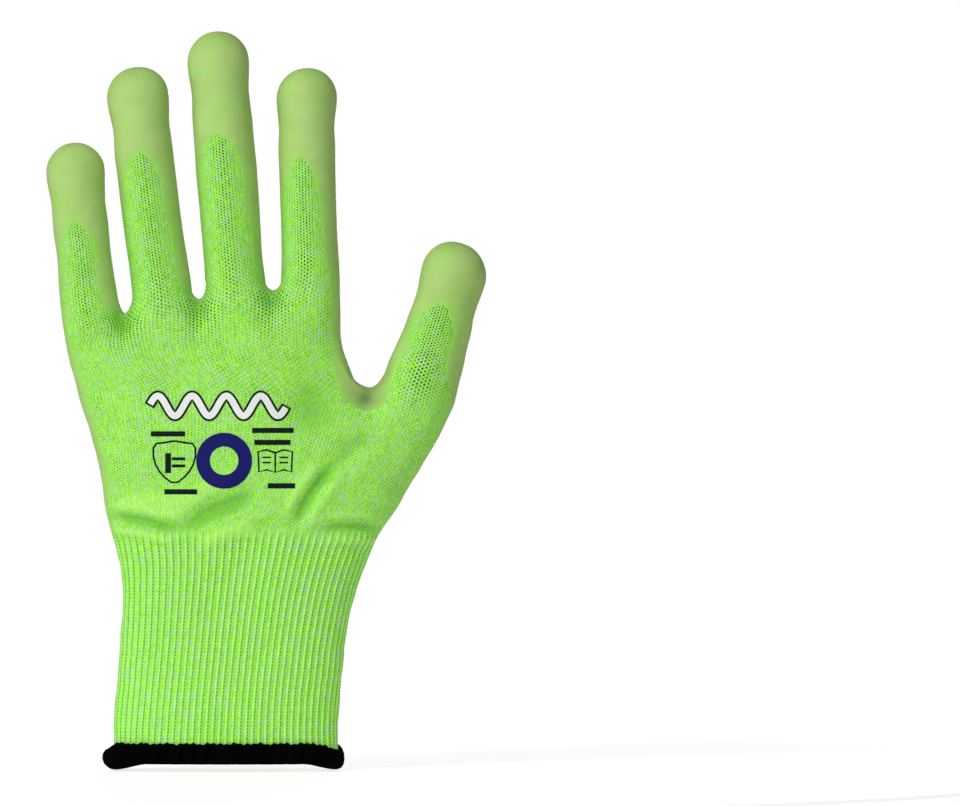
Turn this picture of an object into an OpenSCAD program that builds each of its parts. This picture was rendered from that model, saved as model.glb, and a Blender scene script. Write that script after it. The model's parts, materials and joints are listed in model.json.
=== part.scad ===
// Cut resistant work glove for the left hand: knitted shell, dipped palm coat, ribbed cuff.
// Origin: centre of the cuff opening. +Z points to the fingertips, +X to the thumb, +Y out of the palm.

/* [Cuff] */
// Width of the cuff above its hem
cuff_w = 79; // [60:1:100]
// Thickness of the cuff front to back
cuff_depth = 30; // [20:1:50]
// Height of the hinge line at the wrist
wrist_z = 86; // [70:1:100]
// Thickness of the ribbed knit
cuff_wall = 1.6; // [1:0.1:3]
// Height of the overlocked hem
hem_h = 9; // [5:0.5:15]
// How far the hem stands out from the knit
hem_out = 1.4; // [0.5:0.1:3]
// Largest bend of the wrist towards the palm, degrees
wrist_in = 40; // [10:5:60]
// Largest bend of the wrist towards the back, degrees
wrist_back = 30; // [10:5:60]

/* [Hand] */
// Width of the hand under the fingers
palm_w = 98; // [80:1:120]
// Thickness of the hand at its fullest
palm_depth = 31; // [20:1:45]
// Thickness of the hand at the finger roots
root_depth = 23; // [18:1:35]
// Thickness of the plain knit
wall = 1.2; // [0.8:0.1:2]
// Thickness of the coat over the knit
coat_t = 0.4; // [0.2:0.1:1]
// Thickness of the prints on the back
print_t = 0.15; // [0.1:0.05:0.4]

/* [Finger stalls] */
// Length of the little finger stall
little_l = 65; // [50:1:80]
// Length of the ring finger stall
ring_l = 85; // [70:1:100]
// Length of the middle finger stall
middle_l = 92; // [75:1:110]
// Length of the index finger stall
index_l = 77.5; // [65:0.5:95]
// Length of the thumb stall
thumb_l = 54; // [45:1:75]
// Width of the middle finger stall at its root
finger_w = 21.5; // [17:0.5:28]
// Width of the thumb stall at its root
thumb_w = 27.6; // [20:0.2:34]

/* [Knuckles] */
// Distance of the knuckle axes from the middle of the stall, towards the palm
axis_y = 2; // [0:0.5:5]
// Half of the gap between two knit links
gap = 0.4; // [0.3:0.1:1]
// Bend of the root knuckles, degrees
root_bend = 70; // [30:5:90]
// Bend of the middle knuckles, degrees
middle_bend = 80; // [30:5:100]
// Bend of the end knuckles, degrees
end_bend = 45; // [20:5:80]
// Bend of the thumb at its root, degrees
thumb_root_bend = 45; // [20:5:70]
// Bend of the thumb at its end knuckle, degrees
thumb_end_bend = 60; // [20:5:80]
// Turn of the thumb's knuckle axes towards the palm, degrees
thumb_turn = 12; // [0:1:30]

/* [Hidden] */

knit_green = [0.58, 0.86, 0.36];
coat_green = [0.66, 0.79, 0.45];
hem_black = [0.03, 0.03, 0.03];
print_light = [0.87, 0.86, 0.87];
print_dark = [0.05, 0.06, 0.05];
print_blue = [0.09, 0.06, 0.34];
elastic_white = [0.85, 0.85, 0.82];

stall_n = 20;
body_n = 48;
slack = 1.5;
// Room between a sleeve and the links beside it
fit = 0.02;

// Sections of the cuff and hand: height, left edge, right edge, half depth, slope of the section over x
half_cuff = cuff_w / 2;
half_deep = cuff_depth / 2;
half_palm = palm_w / 2;
body_rows = [
  [0, 0.6 - half_cuff - 1.6, 0.6 + half_cuff + 0.2, half_deep, 0],
  [10, 0.4 - half_cuff - 1, 0.4 + half_cuff - 0.2, half_deep, 0],
  [25, 0.7 - half_cuff, 0.7 + half_cuff, half_deep - 0.5, 0],
  [45, 2.4 - half_cuff, 2.4 + half_cuff + 0.3, half_deep - 0.4, 0],
  [60, 4 - half_cuff - 1, 4 + half_cuff + 1.2, half_deep, 0],
  [72, 5.7 - half_cuff - 3, 5.7 + half_cuff + 3.3, half_deep + 0.3, 0],
  [86, -40.8, 55.5, half_deep + 0.6, 0],
  [98, -43, 57.5, palm_depth / 2, 0],
  [110, -45, 56.5, palm_depth / 2, 0],
  [121, -48, 54.5, palm_depth / 2, 0],
  [131, -51.6, 51, palm_depth / 2 - 0.4, 0.02],
  [141, -4.6 - half_palm, half_palm - 4, palm_depth / 2 - 1, 0.05],
  [151, -7.6 - half_palm, half_palm - 8, (palm_depth + root_depth) / 4 - 0.3, 0.08],
  [160.5, -9 - half_palm, half_palm - 9, root_depth / 2, 0.11]
];
body_e = 2.6;

// Sections of the thumb's mound: x, z, half width, half depth, lean
mound_rows = [
  [36, 96, 20, 12, 12],
  [48, 108, 18.6, 13.4, 26],
  [59, 121.5, 16, 13, 22],
  [67.5, 133.5, thumb_w / 2, 12.2, 17]
];

// Stalls: root x, root z, lean, length, half width and half depth at root, middle and end,
// heights of the knuckles, their bends, top of the bare knit on the back
stalls = [
  [-47.3, 156, -6, little_l, [10.7, 9.6, 10], [10.4, 9.4, 9.7], [8, 25, 44],
    [root_bend, middle_bend, end_bend], 36.5],
  [-21.9, 163, -7, ring_l, [10.6, 10.3, 10.6], [10.6, 10.1, 10.2], [8.5, 33, 58],
    [root_bend, middle_bend, end_bend], 54],
  [3.5, 168, -4.4, middle_l, [finger_w / 2, 10.5, 10.8], [10.7, 10.2, 10.4], [8.5, 36, 63],
    [root_bend, middle_bend, end_bend], 55],
  [29.8, 169.5, -1.2, index_l, [10.5, 10.1, 10.8], [10.6, 10, 10.4], [8.5, 30, 53],
    [root_bend, middle_bend, end_bend], 45],
  [67.5, 133.5, 17, thumb_l, [thumb_w / 2, 11.8, 11.5], [12.2, 11.2, 11], [9, 31],
    [thumb_root_bend, thumb_end_bend], 31]
];
little = stalls[0];
ring = stalls[1];
middle = stalls[2];
index = stalls[3];
thumb = stalls[4];

// Shapes by numbers ---------------------------------------------------------------

function mix(a, b, t) = a + (b - a) * t;
function signed_power(v, p) = sign(v) * pow(abs(v), p);

// Half width and half depth of a stall at height z; the end is a round dome
function dome(s) = s[4][2];
function straight(s) = s[3] - dome(s);
function along(s, z) = max(0, min(1, z / straight(s)));
function three(v, t) = t < 0.5 ? mix(v[0], v[1], t * 2) : mix(v[1], v[2], t * 2 - 1);
function stall_w(s, z) = three(s[4], along(s, z));
function stall_d(s, z) = three(s[5], along(s, z));
function stall_point(s, i, z, off) =
  let (a = 360 * i / stall_n)
  [(stall_w(s, z) + off) * cos(a), (stall_d(s, z) + off) * sin(a), z];
function dome_ring(s, lift, off) = [
  for (i = [0:stall_n - 1])
    let (
      a = 360 * i / stall_n,
      top = straight(s)
    )
    [
      (s[4][2] + off) * cos(a) * cos(lift),
      (s[5][2] + off) * sin(a) * cos(lift),
      top + (dome(s) + off) * sin(lift)
    ]
];

// Height of a cut at knuckle k: side -1 is its lower face and 1 its upper face
function cut_z(s, k, i, side, off) =
  let (
    y = stall_point(s, i, s[6][k], off)[1],
    open = tan(s[7][k] / 2 + slack)
  )
  s[6][k] + side * (gap + max(0, y - axis_y) * open);
function cut_ring(s, k, side, off) = [
  for (i = [0:stall_n - 1]) stall_point(s, i, cut_z(s, k, i, side, off), off)
];
function level_ring(s, z, off) = [for (i = [0:stall_n - 1]) stall_point(s, i, z, off)];
function between(s, lower, upper, t, off) = [
  for (i = [0:stall_n - 1]) stall_point(s, i, mix(lower[i][2], upper[i][2], t), off)
];

// Rings of one link, from knuckle k to the next one
function link_rings(s, k, off) =
  let (a = cut_ring(s, k, 1, off), b = cut_ring(s, k + 1, -1, off))
  [a, between(s, a, b, 0.35, off), between(s, a, b, 0.65, off), b];
function tip_rings(s, k, off) =
  let (a = cut_ring(s, k, 1, off), b = level_ring(s, straight(s), off))
  concat([a, between(s, a, b, 0.55, off)], [for (lift = [0, 24, 46, 67]) dome_ring(s, lift, off)]);

// A ring of the cuff or hand at one of the rows
function row_ring(row, off, z = undef) = [
  for (i = [0:body_n - 1])
    let (
      a = 360 * i / body_n,
      mid = (row[1] + row[2]) / 2,
      w = (row[2] - row[1]) / 2 + off,
      x = mid + w * signed_power(cos(a), 2 / body_e),
      y = (row[3] + off) * signed_power(sin(a), 2 / body_e)
    )
    [x, y, (is_undef(z) ? row[0] : z) + row[4] * x]
];
function row_at(z) =
  let (
    last = len(body_rows) - 2,
    k = max([for (i = [0:last]) if (body_rows[i][0] <= z || i == 0) i]),
    a = body_rows[k],
    b = body_rows[k + 1]
  )
  mix(a, b, (z - a[0]) / (b[0] - a[0]));

// The wrist's cut: side -1 is the cuff's upper face and 1 the hand's lower face
function wrist_cut(row, off, side) = [
  for (p = row_ring(row, off))
    let (
      open = tan((p[1] > 0 ? wrist_in : wrist_back) / 2 + slack),
      z = wrist_z + side * (gap + abs(p[1]) * open)
    )
    [p[0], p[1], z]
];

// Solids from rings -------------------------------------------------------------

// Side faces between rings, seen from outside; flip turns them inward
function side_faces(n, rows, start, flip) = [
  for (j = [0:rows - 2], i = [0:n - 1])
    let (
      a = start + j * n + i,
      b = start + j * n + (i + 1) % n,
      c = b + n,
      d = a + n
    )
    each (flip ? [[a, c, d], [a, b, c]] : [[a, d, c], [a, c, b]])
];
function rim_faces(n, outer, inner, flip) = [
  for (i = [0:n - 1])
    let (a = outer + i, b = outer + (i + 1) % n, c = inner + (i + 1) % n, d = inner + i)
    each (flip ? [[a, c, d], [a, b, c]] : [[a, d, c], [a, c, b]])
];
function fan_faces(n, start, tip, flip) = [
  for (i = [0:n - 1])
    let (a = start + i, b = start + (i + 1) % n)
    flip ? [a, b, tip] : [a, tip, b]
];
function loop_faces(n, rows) = [
  for (j = [0:rows - 1], i = [0:n - 1])
    let (
      a = j * n + i,
      b = j * n + (i + 1) % n,
      c = (j + 1) % rows * n + (i + 1) % n,
      d = (j + 1) % rows * n + i
    )
    each [[a, d, c], [a, c, b]]
];
function flat(list) = [for (part = list) each part];

// An open tube between two sets of rings
module tube(outer, inner) {
  n = len(outer[0]);
  rows = len(outer);
  below = rows * n;
  polyhedron(
    points = concat(flat(outer), flat(inner)),
    faces = concat(
      side_faces(n, rows, 0, false),
      side_faces(n, rows, below, true),
      rim_faces(n, 0, below, true),
      rim_faces(n, (rows - 1) * n, below + (rows - 1) * n, false)
    ),
    convexity = 6
  );
}

// A tube that is open at its first ring and closed at its end
module cap_tube(outer, inner, outer_tip, inner_tip) {
  n = len(outer[0]);
  rows = len(outer);
  below = rows * n;
  tips = 2 * below;
  polyhedron(
    points = concat(flat(outer), flat(inner), [outer_tip, inner_tip]),
    faces = concat(
      side_faces(n, rows, 0, false),
      side_faces(n, rows, below, true),
      rim_faces(n, 0, below, true),
      fan_faces(n, (rows - 1) * n, tips, false),
      fan_faces(n, below + (rows - 1) * n, tips + 1, true)
    ),
    convexity = 6
  );
}

// A closed solid through rings
module loft(rings) {
  n = len(rings[0]);
  rows = len(rings);
  total = rows * n;
  low = [for (k = [0:2]) sum_of(rings[0], k) / n];
  high = [for (k = [0:2]) sum_of(rings[rows - 1], k) / n];
  polyhedron(
    points = concat(flat(rings), [low, high]),
    faces = concat(
      side_faces(n, rows, 0, false),
      fan_faces(n, 0, total, true),
      fan_faces(n, (rows - 1) * n, total + 1, false)
    ),
    convexity = 6
  );
}
function sum_of(ring_points, k) = [for (p = ring_points) p[k]] * [for (p = ring_points) 1];

// Puts a stall where it belongs on the hand
module place(s) {
  turn = s == thumb ? thumb_turn : 0;
  translate([s[0], 0, s[1]]) rotate([0, s[2], 0]) rotate([0, 0, turn]) children();
}

// Knit, coat and sleeve of a stall -------------------------------------------------

module knit_link(s, k) {
  color(knit_green) place(s) tube(link_rings(s, k, 0), link_rings(s, k, -wall));
}

module knit_tip(s, k) {
  color(knit_green) place(s) cap_tube(
    tip_rings(s, k, 0), tip_rings(s, k, -wall), [0, 0, s[3]], [0, 0, s[3] - wall]
  );
}

// The bare knit's outline on the back, with a pointed round top
module bare_back(s) {
  half = s[4][1] * 0.72;
  top = s[8];
  rotate([90, 0, 0]) linear_extrude(height = 30) polygon(concat(
    [[-half, -30]],
    [for (a = [180:-15:0]) [half * cos(a), top - half * 1.5 + half * 1.5 * pow(sin(a), 1.3)]],
    [[half, -30]]
  ));
}

module coat_link(s, k) {
  color(coat_green) place(s) difference() {
    tube(link_rings(s, k, coat_t), link_rings(s, k, 0));
    bare_back(s);
  }
}

module coat_tip(s, k) {
  color(coat_green) place(s) difference() {
    cap_tube(
      tip_rings(s, k, coat_t), tip_rings(s, k, 0), [0, 0, s[3] + coat_t], [0, 0, s[3]]
    );
    bare_back(s);
  }
}

// The stretchy sleeve that closes a knuckle's cut
module sleeve(s, k) {
  color(coat_green) place(s) tube(
    [lifted(cut_ring(s, k, -1, 0), fit), lifted(cut_ring(s, k, 1, 0), -fit)],
    [lifted(cut_ring(s, k, -1, -wall), fit), lifted(cut_ring(s, k, 1, -wall), -fit)]
  );
}

// Cuff ---------------------------------------------------------------------------

cuff_heights = [3, 10, 25, 45, 60, 72];
function cuff_rings(off) = concat(
  [for (z = cuff_heights) row_ring(row_at(z), off)],
  [wrist_cut(row_at(wrist_z), off, -1)]
);

module rib_cuff() {
  color(knit_green) tube(cuff_rings(0), cuff_rings(-cuff_wall));
}

// The hem wraps the knit's edge: height and offset from the knit's face, round its section
hem_profile = [
  [0, 0.5], [1.2, hem_out], [hem_h - 1, hem_out], [hem_h, 0.6], [hem_h, 0.03], [2.96, 0.03],
  [2.96, -cuff_wall - 0.03], [hem_h, -cuff_wall - 0.03], [hem_h - 0.6, -cuff_wall - 0.9],
  [0.6, -cuff_wall - 0.9]
];
module hem_overlock() {
  color(hem_black) polyhedron(
    points = flat([for (p = hem_profile) row_ring(row_at(p[0]), p[1])]),
    faces = loop_faces(body_n, len(hem_profile)),
    convexity = 8
  );
}

module cuff_elastic() {
  color(elastic_white) for (z = [12, 18, 24]) tube(
    [for (h = [0, 1]) row_ring(row_at(z + h), -cuff_wall - 0.1)],
    [for (h = [0, 1]) row_ring(row_at(z + h), -cuff_wall - 0.7)]
  );
}

// The coat's lower part, which runs over the top of the ribs on the palm side
module cuff_coat() {
  heights = [45, 60, 72];
  color(coat_green) intersection() {
    tube(
      concat([for (z = heights) row_ring(row_at(z), coat_t)],
        [wrist_cut(row_at(wrist_z), coat_t, -1)]),
      concat([for (z = heights) row_ring(row_at(z), 0)],
        [wrist_cut(row_at(wrist_z), 0, -1)])
    );
    translate([0, 40, 0]) rotate([90, 0, 0]) linear_extrude(height = 37) polygon([
      [-70, 90], [-46, 73], [-37, 63], [-24, 61], [-9, 60.5], [17, 61], [35, 64], [46, 70.5],
      [70, 90]
    ]);
  }
}

module wrist_knit() {
  row = row_at(wrist_z);
  color(knit_green) tube(
    [lifted(wrist_cut(row, 0, -1), fit), lifted(wrist_cut(row, 0, 1), -fit)],
    [lifted(wrist_cut(row, -wall, -1), fit), lifted(wrist_cut(row, -wall, 1), -fit)]
  );
}

// Hand ---------------------------------------------------------------------------

// A point of a stall in the glove's own frame
function placed(s, p) =
  let (
    turn = s == thumb ? thumb_turn : 0,
    x = p[0] * cos(turn) - p[1] * sin(turn),
    y = p[0] * sin(turn) + p[1] * cos(turn)
  )
  [s[0] + x * cos(s[2]) + p[2] * sin(s[2]), y, s[1] - x * sin(s[2]) + p[2] * cos(s[2])];
function lifted(rings, h) = [for (p = rings) [p[0], p[1], p[2] + h]];

// Rings of the hand from the wrist's cut to the finger roots; past runs the open ends further
hand_heights = [98, 110, 121, 131, 141, 151, 160.5];
function hand_rings(off, past = 0) =
  let (cut = wrist_cut(row_at(wrist_z), off, 1))
  concat(
    past > 0 ? [lifted(cut, -past)] : [],
    [cut],
    [for (z = hand_heights) row_ring(row_at(z), off, z == 160.5 ? z + off : z)]
  );

// A stall's root below its first knuckle; the thumb's goes on down into the mound
function root_top(s, off, past) =
  let (cut = cut_ring(s, 0, -1, off))
  concat([cut], past > 0 ? [lifted(cut, past)] : []);
module finger_root(s, off, past) {
  place(s) loft(concat(
    [level_ring(s, -9 + off, off), level_ring(s, (s[6][0] - 9) / 3 - 1, off)],
    root_top(s, off, past)
  ));
}
module thumb_root(off, past) {
  loft(concat(
    [for (m = mound_rows)
      [for (i = [0:stall_n - 1])
        let (
          a = 360 * i / stall_n + thumb_turn,
          u = (m[2] + off) * cos(a),
          y = (m[3] + off) * sin(a)
        )
        [m[0] + u * cos(m[4]), y, m[1] - u * sin(m[4])]
      ]
    ],
    [for (r = root_top(thumb, off, past)) [for (p = r) placed(thumb, p)]]
  ));
}

module hand_solid(off, past) {
  loft(hand_rings(off, past));
  thumb_root(off, past);
  for (s = [little, ring, middle, index]) finger_root(s, off, past);
}

module hand_shell() {
  difference() {
    hand_solid(0, 0);
    hand_solid(-wall, 4);
  }
}

// The shell is knitted in three parts: the tube round the palm, the crown that carries the finger
// stalls, and the mound that carries the thumb
crown_z = 144;
mound_x = 47;
module hand_liner() {
  color(knit_green) intersection() {
    hand_shell();
    translate([mound_x - 200, -50, 0]) cube([200, 100, crown_z]);
  }
}

module finger_crown() {
  color(knit_green) intersection() {
    hand_shell();
    translate([-100, -50, crown_z]) cube([145, 100, 60]);
  }
}

module thumb_mound() {
  color(knit_green) intersection() {
    hand_shell();
    translate([mound_x, -50, 0]) cube([100, 100, 200]);
  }
}

module palm_coat() {
  color(coat_green) difference() {
    hand_solid(coat_t, 0);
    hand_solid(0, 4);
    // the bare back of the hand, with a narrow coated edge left along both sides
    rotate([90, 0, 0]) linear_extrude(height = 30) polygon([
      [-70, 60], [-48, 92], [-45, 110], [-46.5, 125], [-50.5, 140], [-54.6, 153], [-54, 200],
      [36.4, 200], [37, 152], [41, 139], [46, 131], [53, 127.5], [59, 131], [61.5, 145], [77, 141],
      [76, 127], [69, 110], [65, 96], [90, 60]
    ]);
  }
}

// Prints on the back of the hand, as generic marks ----------------------------------

// The back's height over x and z, and a raised strip that follows it along a flat path
function back_y(p) =
  let (
    row = row_at(p[1]),
    mid = (row[1] + row[2]) / 2,
    w = (row[2] - row[1]) / 2
  )
  -row[3] * pow(1 - pow(abs(p[0] - mid) / w, body_e), 1 / body_e);
function on_back(p, t) = [p[0], back_y(p) - 0.05 - t, p[1]];
module strip(path, half, closed = false) {
  n = len(path);
  way = [
    for (k = [0:n - 1])
      let (
        to = path[closed ? (k + 1) % n : min(k + 1, n - 1)],
        from = path[closed ? (k + n - 1) % n : max(k - 1, 0)]
      )
      (to - from) / norm(to - from)
  ];
  sides = [for (k = [0:n - 1]) [-way[k][1], way[k][0]] * half];
  left = [for (k = [0:n - 1]) path[k] + sides[k]];
  right = [for (k = [0:n - 1]) path[k] - sides[k]];
  points = concat(
    [for (p = left) on_back(p, 0)],
    [for (p = right) on_back(p, 0)],
    [for (p = right) on_back(p, print_t)],
    [for (p = left) on_back(p, print_t)]
  );
  last = closed ? n - 1 : n - 2;
  faces = concat(
    [for (k = [0:last], q = [0:3])
      let (a = q * n + k, b = q * n + (k + 1) % n, c = (q + 1) % 4 * n + (k + 1) % n, d = (q + 1) % 4 * n + k)
      each [[a, b, c], [a, c, d]]
    ],
    closed ? [] : [
      [0, n, 2 * n], [0, 2 * n, 3 * n],
      [n - 1, 4 * n - 1, 3 * n - 1], [n - 1, 3 * n - 1, 2 * n - 1]
    ]
  );
  polyhedron(points = points, faces = faces, convexity = 8);
}

wave_from = -26;
wave_to = 21;
wave_turns = 4;
wave_steps = 48;
function wave_point(t) = [
  mix(wave_from, wave_to, t),
  128 + 3.6 * sin(360 * wave_turns * t)
];
function wave_side(t, off) =
  let (d = wave_point(t + 0.002) - wave_point(t - 0.002))
  wave_point(t) + [-d[1], d[0]] / norm(d) * off;

module print_wave() {
  color(print_light) strip([for (k = [0:wave_steps]) wave_point(k / wave_steps)], 1.3);
}

module print_wave_edge() {
  color(print_dark) for (side = [-1.9, 1.9])
    strip([for (k = [0:wave_steps]) wave_side(k / wave_steps, side)], 0.3);
}

module print_shield() {
  middle_of = [-18, 108.4];
  outline = [
    [-7.2, 6.6], [0, 7], [7.2, 7.4], [7.6, 2], [6.8, -2], [4.6, -5.2], [0, -8], [-4.8, -4.6],
    [-6.6, -1]
  ];
  color(print_dark) {
    strip([for (p = outline) middle_of + p], 0.35, true);
    strip([middle_of + [-2.2, -3], middle_of + [-2.2, 3.6]], 0.9);
    strip([middle_of + [-0.9, 1.6], middle_of + [3.6, 1.6]], 0.4);
    strip([middle_of + [-0.9, -0.4], middle_of + [3.6, -0.4]], 0.4);
  }
}

module print_ring() {
  color(print_blue) strip([for (a = [0:12:348]) [-0.3, 108.8] + 7.4 * [cos(a), sin(a)]], 2.4, true);
}

module print_book() {
  middle_of = [17.6, 108.4];
  outline = [[-6, 3.4], [-3, 4.2], [0, 3.4], [3, 4.2], [6, 3.4], [5.4, -4], [0, -3.6], [-5.4, -4]];
  color(print_dark) {
    strip([for (p = outline) middle_of + p], 0.3, true);
    strip([middle_of + [0, 3], middle_of + [0, -3.2]], 0.3);
  }
}

module print_bars() {
  bars = [
    [-20, 118.2, 12], [-15.5, 97.9, 11.5], [16.8, 119.4, 14.5], [16.6, 115.2, 12.6],
    [19.8, 100, 9.6]
  ];
  color(print_dark) for (b = bars)
    strip([[b[0] - b[2] / 2, b[1]], [b[0], b[1]], [b[0] + b[2] / 2, b[1]]], 0.9);
}

rib_cuff();
hem_overlock();
cuff_elastic();
cuff_coat();
wrist_knit();
hand_liner();
finger_crown();
thumb_mound();
palm_coat();
print_wave();
print_wave_edge();
print_shield();
print_ring();
print_book();
print_bars();
sleeve(little, 0);  // little_root_sleeve
knit_link(little, 0);  // little_proximal_knit
coat_link(little, 0);  // little_proximal_coat
sleeve(little, 1);  // little_middle_sleeve
knit_link(little, 1);  // little_middle_knit
coat_link(little, 1);  // little_middle_coat
sleeve(little, 2);  // little_end_sleeve
knit_tip(little, 2);  // little_tip_knit
coat_tip(little, 2);  // little_tip_coat
sleeve(ring, 0);  // ring_root_sleeve
knit_link(ring, 0);  // ring_proximal_knit
coat_link(ring, 0);  // ring_proximal_coat
sleeve(ring, 1);  // ring_middle_sleeve
knit_link(ring, 1);  // ring_middle_knit
coat_link(ring, 1);  // ring_middle_coat
sleeve(ring, 2);  // ring_end_sleeve
knit_tip(ring, 2);  // ring_tip_knit
coat_tip(ring, 2);  // ring_tip_coat
sleeve(middle, 0);  // middle_root_sleeve
knit_link(middle, 0);  // middle_proximal_knit
coat_link(middle, 0);  // middle_proximal_coat
sleeve(middle, 1);  // middle_middle_sleeve
knit_link(middle, 1);  // middle_middle_knit
coat_link(middle, 1);  // middle_middle_coat
sleeve(middle, 2);  // middle_end_sleeve
knit_tip(middle, 2);  // middle_tip_knit
coat_tip(middle, 2);  // middle_tip_coat
sleeve(index, 0);  // index_root_sleeve
knit_link(index, 0);  // index_proximal_knit
coat_link(index, 0);  // index_proximal_coat
sleeve(index, 1);  // index_middle_sleeve
knit_link(index, 1);  // index_middle_knit
coat_link(index, 1);  // index_middle_coat
sleeve(index, 2);  // index_end_sleeve
knit_tip(index, 2);  // index_tip_knit
coat_tip(index, 2);  // index_tip_coat
sleeve(thumb, 0);  // thumb_root_sleeve
knit_link(thumb, 0);  // thumb_proximal_knit
coat_link(thumb, 0);  // thumb_proximal_coat
sleeve(thumb, 1);  // thumb_end_sleeve
knit_tip(thumb, 1);  // thumb_tip_knit
coat_tip(thumb, 1);  // thumb_tip_coat
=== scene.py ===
"""Looks of the cut resistant glove: knit, dipped coat, ribbed cuff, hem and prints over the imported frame.

Shapes are worked out in millimetres in the frame's own axes and written in metres.
The back of the hand faces -Y, the thumb is at +X and the fingertips are at +Z.
"""

import json
import math

import bpy
import numpy as np
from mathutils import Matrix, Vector, noise
from mathutils.bvhtree import BVHTree
from mathutils.geometry import delaunay_2d_cdt

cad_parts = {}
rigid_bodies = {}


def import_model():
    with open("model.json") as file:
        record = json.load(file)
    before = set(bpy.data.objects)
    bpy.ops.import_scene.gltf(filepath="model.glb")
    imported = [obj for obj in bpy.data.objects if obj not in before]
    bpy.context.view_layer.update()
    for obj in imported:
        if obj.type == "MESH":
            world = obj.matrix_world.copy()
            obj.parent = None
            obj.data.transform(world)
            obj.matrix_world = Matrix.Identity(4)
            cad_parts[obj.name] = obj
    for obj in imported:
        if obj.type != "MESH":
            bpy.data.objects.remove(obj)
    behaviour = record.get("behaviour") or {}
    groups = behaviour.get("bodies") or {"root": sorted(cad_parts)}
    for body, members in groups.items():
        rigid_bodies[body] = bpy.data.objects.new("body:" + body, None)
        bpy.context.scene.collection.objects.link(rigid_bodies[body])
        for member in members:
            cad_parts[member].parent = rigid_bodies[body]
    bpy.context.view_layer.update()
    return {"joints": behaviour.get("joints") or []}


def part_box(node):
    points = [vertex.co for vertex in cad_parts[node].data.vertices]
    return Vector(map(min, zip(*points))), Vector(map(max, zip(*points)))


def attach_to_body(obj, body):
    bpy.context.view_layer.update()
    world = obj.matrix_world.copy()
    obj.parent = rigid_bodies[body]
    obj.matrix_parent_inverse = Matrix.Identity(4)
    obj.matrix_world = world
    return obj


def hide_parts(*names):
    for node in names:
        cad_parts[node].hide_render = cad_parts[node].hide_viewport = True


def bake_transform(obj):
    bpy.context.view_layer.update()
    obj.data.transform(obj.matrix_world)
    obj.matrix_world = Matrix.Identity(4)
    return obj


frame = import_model()

MM = 0.001

# Columns of stitches: a finger's back or palm arc, a side, and the thumb's arc
ARC = 14
SIDE = 6
THUMB_ARC = 18
HIGH = 8 * ARC + 2 * SIDE
LOW = HIGH + 2 * THUMB_ARC
HALF_SIDE = SIDE // 2
BACK_END = HALF_SIDE + 4 * ARC

# Sizes of the shell, which follow the CAD model's
EDGE_Z = (0, 10, 25, 45, 60, 72, 86, 98, 110, 121, 131, 141, 151, 161)
LEFT_X = (-40.5, -40.1, -38.8, -37.1, -36.5, -36.9, -40.6, -43, -45, -48, -51.6, -54, -56.6, -58.4)
RIGHT_X = (39.6, 39.0, 39.4, 41.9, 44.7, 48.5, 55.5, 58, 57, 54.5, 51.5, 45, 41, 39.8)
HALF_DEPTH = (15, 15, 14.5, 14.6, 15, 15.3, 15.6, 15.5, 15.5, 15.5, 15.1, 14.4, 13, 11.4)
SECTION_POWER = 2.6
SECTION_SAMPLES = 500
MOUND_Z = (86, 98, 109, 119, 130)
MOUND_X = (56.5, 63, 69.4, 75, 80.6)
MOUND_BLEND = (82, 92)
MOUND_HALF = (27.0, 15.2)
MOUND_DEPTH = (12.0, 12.4)
WRIST_Z = 86.0
CROTCH_LEFT_Z = 134.0
CROTCH_RIGHT_Z = 132.0
CROTCH = (52.0, 131.2)
JUNCTION_X = (38.0, CROTCH[0])
THUMB_RIGHT_Z = 128.6
TOP_X = (-58, -47, -35.6, -22, -9.2, 3.5, 16.5, 30, 40)
TOP_Z = (154, 154.8, 156.4, 160, 162.2, 165, 166, 166.6, 165.4)
SHOULDER_Z = (132.7, 135.2, 140.4, 146, 151, 162)
SHOULDER_X = (51.6, 47.9, 44, 41.4, 40.2, 39.8)
TOP_SPAN = (-58.0, 39.8)
WEBS = ((-35.6, 158.8), (-9.2, 164.0), (16.5, 167.0))
CORNERS = (-56.4, 38.6)
ROW_STEP = 2.34

# Each stall: length, height of its first knuckle, half width and half depth at its root, middle and tip,
# sideways bow, and its bare back's half width, shift, top and growth to the left and right at the root
STALL_KEYS = ("length", "knuckle", "half_w", "half_d", "bow", "bare")
STALLS = {name: dict(zip(STALL_KEYS, row)) for name, *row in (
    ("little", 64.6, 8.0, (10.2, 9.2, 9.6), (10.0, 9.0, 9.3), -0.2, (5.4, -1.6, 36.5, 0.13, 0.03)),
    ("ring", 84.6, 8.5, (10.1, 9.9, 10.0), (10.2, 9.7, 9.8), -0.55, (6.2, -1.6, 54.0, 0.25, 0.05)),
    ("middle", 91.6, 8.5, (10.0, 10.3, 10.05), (10.3, 9.8, 10.0), -0.3, (7.2, -1.9, 55.0, 0.15, 0.07)),
    ("index", 77.1, 8.5, (9.9, 9.4, 9.8), (10.2, 9.5, 9.9), -0.4, (5.9, -2.4, 45.0, 0.12, 0.08)),
    ("thumb", 53.6, 9.0, (13.4, 11.3, 10.7), (11.8, 10.8, 10.6), 0.8, (7.4, -0.4, 31.0, 0.08, 0.15)),
)}
HINGE_Y = 2.0
# Swelling of each fingertip, the neck under it, how far down the neck is, and the curl to the palm
BULB = 0.45
NECK = 0.4
NECK_DROP = 11.0
CURL = 1.8
FINGERS = ("little", "ring", "middle", "index")
LINKS = {"root": "proximal", "middle": "middle", "end": "tip"}


# Numbers


def ease(x, low=0.0, high=1.0):
    """0 at low and 1 at high, with a soft start and end."""
    t = np.clip((np.asarray(x, float) - low) / (high - low), 0, 1)
    return t * t * (3 - 2 * t)


def mix(a, b, t):
    return a + (b - a) * t


def bell(x, middle, wide):
    return np.exp(-((x - middle) / wide) ** 2)


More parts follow.
